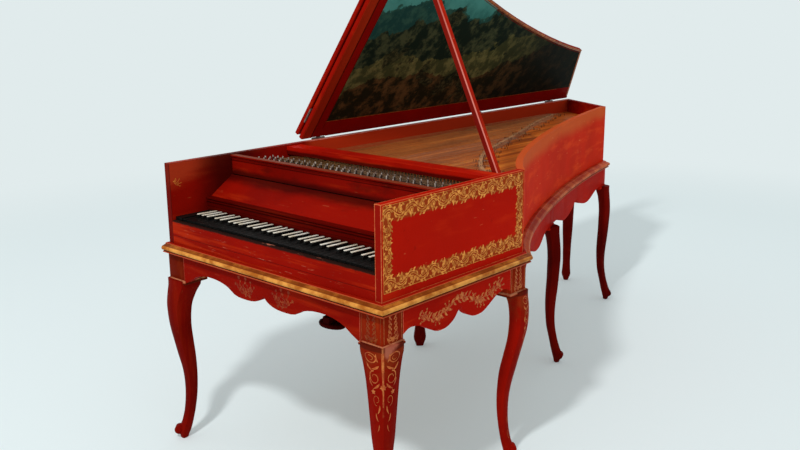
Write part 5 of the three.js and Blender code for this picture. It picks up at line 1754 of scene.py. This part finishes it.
@dataclass
class Stringing:
    """Tuning pins, strings, nut pins and bridge pins.

    Attributes:
        rows: places of the rows of tuning pins from the front.
        spread: from the middle of a key to each of its two strings.
        plane: height of the strings at the nut.
        nut_front: where the strings at the spine cross the nut.
        nut_rise: how much further back they cross it at the cheek.
    """

    keyboard: Keyboard
    bentside: Bentside
    rows: tuple[float, ...] = (300, 325, 350, 375)
    spread: float = 4.2
    plane: float = 903.4
    plank_top: float = 893
    pin_top: float = 925
    bridge_top: float = 895
    board_top: float = 880
    nut_front: float = 438
    nut_rise: float = 14

    def bridge_y(self, x: float) -> float:
        """Where a string crosses the bridge, found on the bridge's solid."""
        corners = [vert.co for vert in frame["nodes"]["bridge"].data.vertices]
        top = max(corner.z for corner in corners)
        line = sorted((corner.x, corner.y) for corner in corners if corner.z > top - 1 * MM)
        at = place(x, 0, 0).x
        xs, ys = np.array(line).T
        near = np.argsort(np.abs(xs - at))[:8]
        return float(np.average(ys[near], weights=1 / (np.abs(xs[near] - at) + 1e-4)) - CORNER.y) / MM

    def strings(self) -> list[Triple]:
        """Each string's x, and the y of its tuning pin and of its crossing of the bridge."""
        found = []
        for number, (x, _) in enumerate(self.keyboard.centres()):
            for side in (-1, 1):
                row = self.rows[(2 * number + (side > 0)) % 4]
                place_x = x + side * self.spread
                found.append((place_x, row, self.bridge_y(place_x)))
        return found

    def pin_finish(self) -> Material:
        """Steel that is bright on the pins' squared tops, a painted highlight on polished steel, and nearly
        black below, painted shade among the pins.
        """
        shader = Shader("pin_steel")
        # painted highlight on the tops and painted shade below them
        top = shader.along((0, 0, 1)).over((self.pin_top - 8) * MM, (self.pin_top - 5) * MM)
        spot = shader.noise(160.0, 4.0)
        bright = shader.blend(spot.over(0.4, 0.65), (0.2, 0.13, 0.1), (0.7, 0.6, 0.52))
        colour = shader.blend(top, (0.03, 0.014, 0.01), bright)
        shader.bump(spot, 0.0001, 0.3)
        return shader.connect(base_color=colour, roughness=0.36 + spot * 0.1, specular_ior_level=0.3)

    def dress(self) -> None:
        """Builds the pins and the strings."""
        chance = random.Random(7)
        steel = self.pin_finish()
        brass = Metal("string_brass", (0.4, 0.2, 0.06), (0.22, 0.1, 0.03), 0.5, 0.4).make()
        iron = Metal("string_iron", (0.34, 0.22, 0.14), (0.2, 0.12, 0.07), 0.5, 0.4).make()
        pins, coils = bmesh.new(), bmesh.new()
        small = bmesh.new()
        wires = {"brass_strings": [], "iron_strings": []}
        found = self.strings()
        for number, (x, pin_y, bridge_y) in enumerate(found):
            lean = Vector((chance.uniform(-0.8, 0.8), chance.uniform(-0.8, 0.8), 0)) * MM
            pin_x = x + chance.uniform(-0.6, 0.6)
            base = place(pin_x, pin_y, self.plank_top - 4)
            add_rod(pins, base, place(pin_x, pin_y, self.pin_top - 8) + lean, 2.5 * MM, 6)
            add_block(
                pins, place(pin_x - 0.9, pin_y - 1.9, self.pin_top - 9) + lean,
                place(pin_x + 0.9, pin_y + 1.9, self.pin_top + chance.uniform(-1, 1)) + lean,
            )
            add_rod(coils, place(pin_x, pin_y, 899), place(pin_x, pin_y, 904.5), 3.2 * MM, 8)
            bent = min(bridge_y + 70, self.bentside.inner_y(x, 34)) if x > 300 else bridge_y + 90
            nut_y = self.nut_front + self.nut_rise * x / self.keyboard.width
            points = [
                place(pin_x + 3, pin_y, 902), place(x, nut_y, self.plane),
                place(x, bridge_y, self.bridge_top + 0.6), place(x + 2, bent, self.board_top + 7),
            ]
            metal = "brass_strings" if number < 44 else "iron_strings"
            wires[metal].append((points, 0.28 if number < 60 else 0.22))
            add_rod(small, place(x + 1.0, nut_y, 900), place(x + 1.0, nut_y, self.plane + 3), 0.7 * MM, 5)
            add_rod(
                small, place(x + 1.0, bridge_y, 890), place(x + 1.0, bridge_y, self.bridge_top + 4),
                0.7 * MM, 5,
            )
            add_rod(
                small, place(x + 2, bent, self.board_top - 2), place(x + 2, bent, self.board_top + 9),
                0.9 * MM, 5,
            )
        settle(pins, "tuning_pins", Body.CASE, steel, smooth=True)
        dull = Metal("coil_brass", (0.16, 0.06, 0.02), (0.07, 0.025, 0.01), 0.5, 0.5).make()
        settle(coils, "string_coils", Body.CASE, dull, smooth=True)
        settle(small, "guide_pins", Body.CASE, steel, smooth=True)
        for name, runs in wires.items():
            self.wire(name, runs, brass if name.startswith("brass") else iron)

    @staticmethod
    def wire(name: str, runs: list, material: Material) -> None:
        """Draws strings as fine rods from point to point."""
        mesh = bmesh.new()
        for points, radius in runs:
            for start, end in zip(points, points[1:]):
                add_rod(mesh, start, end, radius * MM, 4)
        settle(mesh, name, Body.CASE, material)


@dataclass
class Lid:
    """Lid, flap, their mouldings and the prop.

    Attributes:
        front: distance of the main lid's front edge from the case's front.
        panel_spine: width of the red border along the spine.
        ridges: painted hills from far to near: height, length and depth of their waves, dark and light colour.
    """

    bentside: Bentside
    front: float = 578
    spine: float = 2371
    width: float = 930
    panel_spine: float = 78
    ridges: tuple[tuple, ...] = (
        (0.52, 0.9, 0.05, (0.012, 0.05, 0.042), (0.03, 0.085, 0.06)),
        (0.42, 1.7, 0.06, (0.008, 0.016, 0.01), (0.055, 0.065, 0.03)),
        (0.3, 0.8, 0.03, (0.045, 0.05, 0.018), (0.14, 0.13, 0.045)),
        (0.19, 1.1, 0.05, (0.014, 0.013, 0.006), (0.1, 0.055, 0.02)),
    )

    def __post_init__(self) -> None:
        """Finds the hinge line and how far the lid stands open."""
        joint = next(joint for joint in frame["joints"] if joint["name"] == "lid_hinge")
        angle = math.radians(joint["range_deg"][1])
        self.axis = Vector(joint["pos_m"])
        self.across = Vector((math.cos(angle), 0, math.sin(angle)))
        self.out = Vector((-math.sin(angle), 0, math.cos(angle)))
        front = place(0, self.front, 0).y
        self.origin = Vector((self.axis.x, front, self.axis.z))

    def lay(self) -> Matrix:
        """Matrix from the lid's plan, x across, y to the tail, z out of its back, to the row frame."""
        return Matrix.Translation(self.origin) @ Matrix(
            (self.across, Vector((0, 1, 0)), self.out)
        ).transposed().to_4x4()

    def painting(self) -> Material:
        """Dark landscape of hills and trees on the inner face, lacquer elsewhere."""
        shader = Shader("lid_painting")
        u = shader.along(self.across, self.origin)
        v = shader.along((0, 1, 0), self.origin)
        w = shader.along(self.out, self.origin)
        red = Lacquer(streak=(20, 3, 20), rubbed=0.3, smoke=0.4).coat(shader)
        dark_red = shader.blend(shader.noise(9.0, 4.0), (0.15, 0.0015, 0.001), (0.3, 0.004, 0.002))
        rubbing = shader.noise(1.0, 4.0, 0.6, (3, 30, 3))
        bright = shader.blend(rubbing, (0.24, 0.009, 0.003), (0.42, 0.03, 0.006))
        edge = v + shader.noise(30.0) * 3 * MM
        panel = u.over(self.panel_spine * MM, (self.panel_spine + 3) * MM) * v.over(84 * MM, 86 * MM)
        face = shader.layers(
            dark_red,
            (panel, self.landscape(shader, u, v)),
            (edge.over(50 * MM, 46 * MM), (0.03, 0.002, 0.001)),
            (edge.over(45 * MM, 43 * MM), bright),
        )
        colour = shader.blend(w.over(1.2 * MM, 0.6 * MM), red, face)
        shader.bump(shader.noise(70.0, 4.0), 0.0005, 0.3)
        return shader.connect(
            base_color=colour, roughness=0.46 + shader.noise(20.0) * 0.15, specular_ior_level=SHEEN
        )

    def landscape(self, shader: Shader, u: Value, v: Value) -> NodeSocket:
        """Colours of a dark wooded valley under a teal sky, by the height u and the length v."""
        height = u - v * 0.1
        cloud = shader.noise(4.0, 6.0, 0.62)
        leaf = shader.noise(17.0, 8.0, 0.68)
        bough = shader.noise(6.0, 5.0, 0.6)
        colour = shader.blend(cloud.over(0.36, 0.64), (0.02, 0.11, 0.092), (0.07, 0.26, 0.22))
        for level, length, rise, deep, pale in self.ridges:
            ridge = v.wave(length) * rise + bough * 0.22 + leaf * 0.06 + (level - 0.14)
            near = shader.blend(leaf.over(0.44, 0.62), deep, pale)
            colour = shader.blend((height - ridge).over(0.003, -0.003), colour, near)
        crowns = (leaf * 0.3 + bough * 0.8).over(0.6, 0.64) * height.over(0.6, 0.52)
        dapple = shader.noise(70.0, 5.0, 0.7).over(0.45, 0.62)
        leaves = shader.blend(dapple, (0.006, 0.01, 0.006), (0.05, 0.05, 0.022))
        colour = shader.blend(crowns * 0.85, colour, leaves)
        night = (v + cloud * 0.35).over(0.95, 1.5)
        return shader.blend(night * 0.8, colour, (0.007, 0.01, 0.008))

    def plan(self, point: Vector) -> tuple[float, float]:
        """Turns a point of the case's plan into one of the lid's, both in millimetres."""
        return point.x - (self.axis.x - CORNER.x) / MM, point.y - self.front

    def outline(self, offset: float, steps: int = 28) -> list[tuple[float, float]]:
        """Free edge of the lid in its plan, from the front corner to the tail, moved outwards."""
        side = self.bentside
        return [self.plan(side.point(i / steps) + side.outward(i / steps) * offset) for i in range(steps + 1)]

    def tail_edge(self, inset: float) -> list[tuple[float, float]]:
        """Edge of the lid at the tail in its plan, moved inwards."""
        corner, end = self.bentside.point(1), Vector((0, self.spine))
        run = (end - corner).normalized()
        inward = Vector((-run.y, run.x)) * inset
        return [self.plan(point + inward) for point in (corner + run * inset * 0.8, end - run * 2 * inset)]

    def mouldings(self, gilt: Material, red: Material) -> None:
        """Fine strips round the painted panel."""
        panel = self.panel_spine
        runs = {
            "lid_bentside_bead": [(self.outline(-14), 11.0, gilt), (self.outline(-24), 2.4, red)],
            "lid_tail_bead": [(self.tail_edge(14), 11.0, gilt)],
            "lid_front_bead": [
                ([(45, 84), (self.width - 50, 84)], 4.0, red), ([(60, 47), (self.width - 40, 47)], 3.0, red)
            ],
            "lid_spine_bead": [([(panel, 80), (panel, 1620)], 2.6, gilt)],
        }
        for name, lines in runs.items():
            for number, (points, width, finish) in enumerate(lines):
                strip = Filigree(thickness=0.2)
                strip.line(points, width)
                strip.build(f"{name}_{number + 1}", self.lay(), Body.LID, finish)

    def edge_strip(self) -> None:
        """Strip along the lid's edge at the spine, between the hinges, that narrows the gap to the rim."""
        stops = [4 * MM]
        for number in (1, 2, 3):
            low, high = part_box(f"lid_hinge_leaf_{number}")
            stops += [low.y - self.origin.y - 5 * MM, high.y - self.origin.y + 5 * MM]
        stops.append((self.spine - self.front - 8) * MM)
        mesh = bmesh.new()
        for start, end in zip(stops[::2], stops[1::2]):
            if end > start:
                low, high = Vector((3.4 * MM, start, 1.3 * MM)), Vector((12.7 * MM, end, 4 * MM))
                add_block(mesh, low, high, 0.5 * MM)
        bmesh.ops.transform(mesh, matrix=self.lay(), verts=mesh.verts)
        finish = Lacquer("lacquer_lid_strip", streak=(30, 4, 30), light=0.8).make()
        settle(mesh, "lid_edge_strip", Body.LID, finish)

    def prop_finish(self) -> Material:
        """Red lacquer brightened by painted light, with painted shade on the front face and a painted highlight
        along its right edge.
        """
        shader = Shader("lacquer_prop")
        colour = Lacquer(streak=(30, 30, 2), rubbed=0.2, warm=2.0, light=1.6).coat(shader)
        low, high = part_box("prop")
        side = Vector((high.z - low.z, 0, high.x - low.x))
        mesh = frame["nodes"]["prop"].data
        pairs = [[mesh.vertices[number].co for number in edge.vertices] for edge in mesh.edges]
        pairs = [pair for pair in pairs if max(pair[0].y, pair[1].y) < low.y + 1 * MM]
        longest = max((pair[1] - pair[0]).length for pair in pairs)
        pairs = [pair for pair in pairs if (pair[1] - pair[0]).length > 0.6 * longest]
        first, last = max(pairs, key=lambda pair: side.dot(pair[0] + pair[1]))
        along = (last - first).normalized()
        away = abs(shader.along((along.z, 0, -along.x), first))
        depth = shader.along((0, 1, 0), first)
        # painted shade on the front face
        colour = shader.blend(depth.over(1 * MM, 0.4 * MM) * 0.75, colour, (0.12, 0.005, 0.004))
        # painted highlight along the right edge, strongest low down
        highlight_fade = shader.along((0, 0, 1)).over(1.7, 1.1) * 0.65 + 0.2
        line = away.higher(depth).over(3.6 * MM, 1.8 * MM) * highlight_fade
        colour = shader.blend(line, colour, (0.85, 0.27, 0.21))
        shader.bump(shader.noise(60.0, 3.0), 0.0003, 0.3)
        return shader.connect(base_color=colour, roughness=0.4, specular_ior_level=SHEEN)

    def dress(self) -> None:
        """Finishes the lid, the flap and the prop."""
        dress("lid", self.painting())
        dress("lid_flap", Lacquer("lacquer_flap", streak=(20, 3, 20), smoke=0.5).make())
        brown = GoldLeaf(
            "brown_gilding", gold=(0.48, 0.13, 0.022), shade=(0.2, 0.04, 0.008), rubbed=0.5
        ).make()
        red = Lacquer("lacquer_beads", light=0.5).make()
        self.mouldings(brown, red)
        self.edge_strip()
        dress("prop", self.prop_finish())


@dataclass
class Action:
    """Hammers, dampers and the knee lever."""

    keyboard: Keyboard

    def dress(self) -> None:
        """Finishes the action's solids and adds the leather and felt."""
        shank = Wood("hammer_wood", (0.45, 0.3, 0.15), (0.25, 0.14, 0.06), (60, 3, 60)).make()
        leather = Felt("hammer_leather", (0.5, 0.38, 0.24), (0.3, 0.2, 0.11)).make()
        for node in ("hammers_bass", "hammers_treble", "hammer_c1", "hammer_c_sharp_1", "hammer_d1"):
            dress(node, shank)
        cloth = Felt("damper_cloth", (0.26, 0.03, 0.025), (0.1, 0.008, 0.008)).make()
        dress("damper_rail", shank)
        # light 0.16 darkens the knee lever with painted shade under the case
        dress("knee_lever", Lacquer("lacquer_knee", smoke=0.7, rubbed=0.1, light=0.16).make())
        heads = {}
        for x, owner in self.keyboard.centres():
            heads.setdefault(owner.replace("keys", "hammers").replace("key_", "hammer_"), []).append(x)
        for body, places in heads.items():
            mesh = bmesh.new()
            for x in places:
                add_block(mesh, place(x - 4.4, 507.6, 862), place(x + 4.4, 524.4, 872.6), 2.2 * MM, 2)
            settle(mesh, f"{body}_leather", body, leather, smooth=True)
        mesh = bmesh.new()
        for x, _ in self.keyboard.centres():
            add_block(mesh, place(x - 5.5, 528.4, 904.4), place(x + 5.5, 537.6, 911.4), 0.8 * MM)
        settle(mesh, "damper_heads", Body.DAMPERS, cloth, smooth=True)


@dataclass
class Studio:
    """Pale floor, lights and the camera.

    Attributes:
        eye: the camera's place, in millimetres from the case's front left corner.
        yaw: angle of the view from the tail's direction towards the spine.
        pitch: angle below the horizon.
        roll: tilt of the picture.
        focal: focal length in pixels of a picture 800 pixels wide.
        floor_tone: colour of the floor and the backdrop.
        seen_tone: colour of the backdrop and the far floor as the camera sees them.
        even_share: least share of that colour in the floor that the camera sees.
        even_reach: distances from the object between which that share grows to the whole, in metres.
        sky_tone: colour of the light from all round.
        sky_strength: share of the floor's light that comes from all round.
        lamp_place: the lamp's place, in millimetres from the case's front left corner.
        lamp_radius: its size, in metres, which softens the shadow's edge.
        lamp_light: light that it throws on a surface that faces it, the same at every distance.
    """

    eye: Triple = (2422.985, -1585.264, 1434.569)
    yaw: float = 0.73358
    pitch: float = 0.2455
    roll: float = -0.00783
    focal: float = 903.65753
    picture: float = 800.0
    floor_tone: Triple = (0.8, 0.882, 0.89)
    seen_tone: Triple = (0.753, 0.831, 0.839)
    even_share: float = 0.23
    even_reach: tuple[float, float] = (3.1, 5.2)
    sky_tone: Triple = (0.95, 1.0, 1.01)
    sky_strength: float = 0.64
    lamp_place: Triple = (1459.0, -2176.0, 3480.0)
    lamp_radius: float = 0.18
    lamp_light: float = 1.63

    def camera(self) -> None:
        """Sets the camera at the photograph's place."""
        data = bpy.data.cameras.new("camera")
        data.sensor_width = 36.0
        data.lens = self.focal / self.picture * data.sensor_width
        data.clip_end = 200.0
        forward = Vector((
            -math.sin(self.yaw) * math.cos(self.pitch), math.cos(self.yaw) * math.cos(self.pitch),
            -math.sin(self.pitch),
        ))
        right = forward.cross(Vector((0, 0, 1))).normalized()
        up = right.cross(forward)
        turn = Matrix.Rotation(-self.roll, 3, forward)
        right, up = turn @ right, turn @ up
        seat = Matrix((right, up, -forward)).transposed().to_4x4()
        camera = bpy.data.objects.new("camera", data)
        camera.matrix_world = Matrix.Translation(place(*self.eye)) @ seat
        bpy.context.scene.collection.objects.link(camera)
        bpy.context.scene.camera = camera

    def floor(self) -> None:
        """Lays the floor out to the horizon."""
        mesh = bmesh.new()
        bmesh.ops.create_grid(mesh, x_segments=1, y_segments=1, size=60.0)
        data = bpy.data.meshes.new("floor")
        mesh.to_mesh(data)
        mesh.free()
        shader = Shader("floor_paper")
        tint = shader.noise(0.8, 3.0)
        colour = shader.blend(tint, self.floor_tone, tuple(part * 0.99 for part in self.floor_tone))
        data.materials.append(shader.connect(base_color=colour, roughness=0.95, specular_ior_level=0.0))
        self.even(shader)
        floor = bpy.data.objects.new("floor", data)
        floor.location.z = -0.0005
        bpy.context.scene.collection.objects.link(floor)

    def even(self, shader: Shader) -> None:
        """Evens the floor out as it is seen, wholly so far from the object, so that no horizon shows.

        Args:
            shader: the floor's shader.
        """
        x, y = shader.along((1, 0, 0)), shader.along((0, 1, 0))
        share = (x * x + y * y).root().over(*self.even_reach) * (1 - self.even_share) + self.even_share
        glow = shader.node("ShaderNodeEmission", {}, {"Color": (*self.seen_tone, 1.0), "Strength": 1.0})
        shader.mix(share * self.seen(shader), shader.surface, glow, "Material Output")

    @staticmethod
    def seen(tree: Tree) -> Value:
        """1 for a ray that shows the studio: from the camera, mirrored or refracted."""
        rays = tree.node("ShaderNodeLightPath", {}, {}).outputs
        straight, mirrored, refracted = (
            Value(tree, rays[f"Is {kind} Ray"]) for kind in ("Camera", "Glossy", "Transmission")
        )
        return straight.higher(mirrored).higher(refracted)

    def lights(self) -> None:
        """Even sky all round, and one lamp at the front right that throws the shadow."""
        world = bpy.data.worlds.new("studio")
        bpy.context.scene.world = world
        world.use_nodes = True
        tree = Tree(world.node_tree)
        sky = world.node_tree.nodes["Background"]
        tree.feed((*self.sky_tone, 1.0), sky.inputs["Color"])
        tree.feed(self.sky_strength, sky.inputs["Strength"])
        backdrop = tree.node("ShaderNodeBackground", {}, {"Color": (*self.seen_tone, 1.0)})
        tree.mix(self.seen(tree), sky, backdrop, "World Output")
        light = bpy.data.lights.new("key", "POINT")
        light.energy = self.lamp_light * 4 * math.pi
        light.shadow_soft_size = self.lamp_radius
        light.use_nodes = True
        tree = Tree(light.node_tree)
        falloff = tree.node("ShaderNodeLightFalloff", {}, {"Strength": 1.0})
        tree.feed(falloff.outputs["Constant"], light.node_tree.nodes["Emission"].inputs["Strength"])
        lamp = bpy.data.objects.new("key", light)
        lamp.location = place(*self.lamp_place)
        bpy.context.scene.collection.objects.link(lamp)

    def dress(self) -> None:
        """Sets up the whole studio."""
        self.camera()
        self.floor()
        self.lights()
        bpy.context.scene.view_settings.view_transform = "Standard"


def main() -> None:
    """Dresses the instrument, assembly by assembly."""
    logging.basicConfig(level=logging.INFO, format="%(name)s %(message)s")
    gold = GoldLeaf().make()
    bentside = Bentside()
    keyboard = Keyboard()
    builders: Sequence[tuple[str, Callable[[], None]]] = (
        ("studio", Studio().dress),
        ("stand", Stand().dress),
        ("case", lambda: Case().dress(gold)),
        ("keyboard", lambda: keyboard.dress(Ebony().make(), Bone().make())),
        ("stringing", Stringing(keyboard, bentside).dress),
        ("action", Action(keyboard).dress),
        ("lid", Lid(bentside).dress),
    )
    for name, build in builders:
        build()
        LOG.info("%s done", name)


if __name__ == "__main__":
    main()
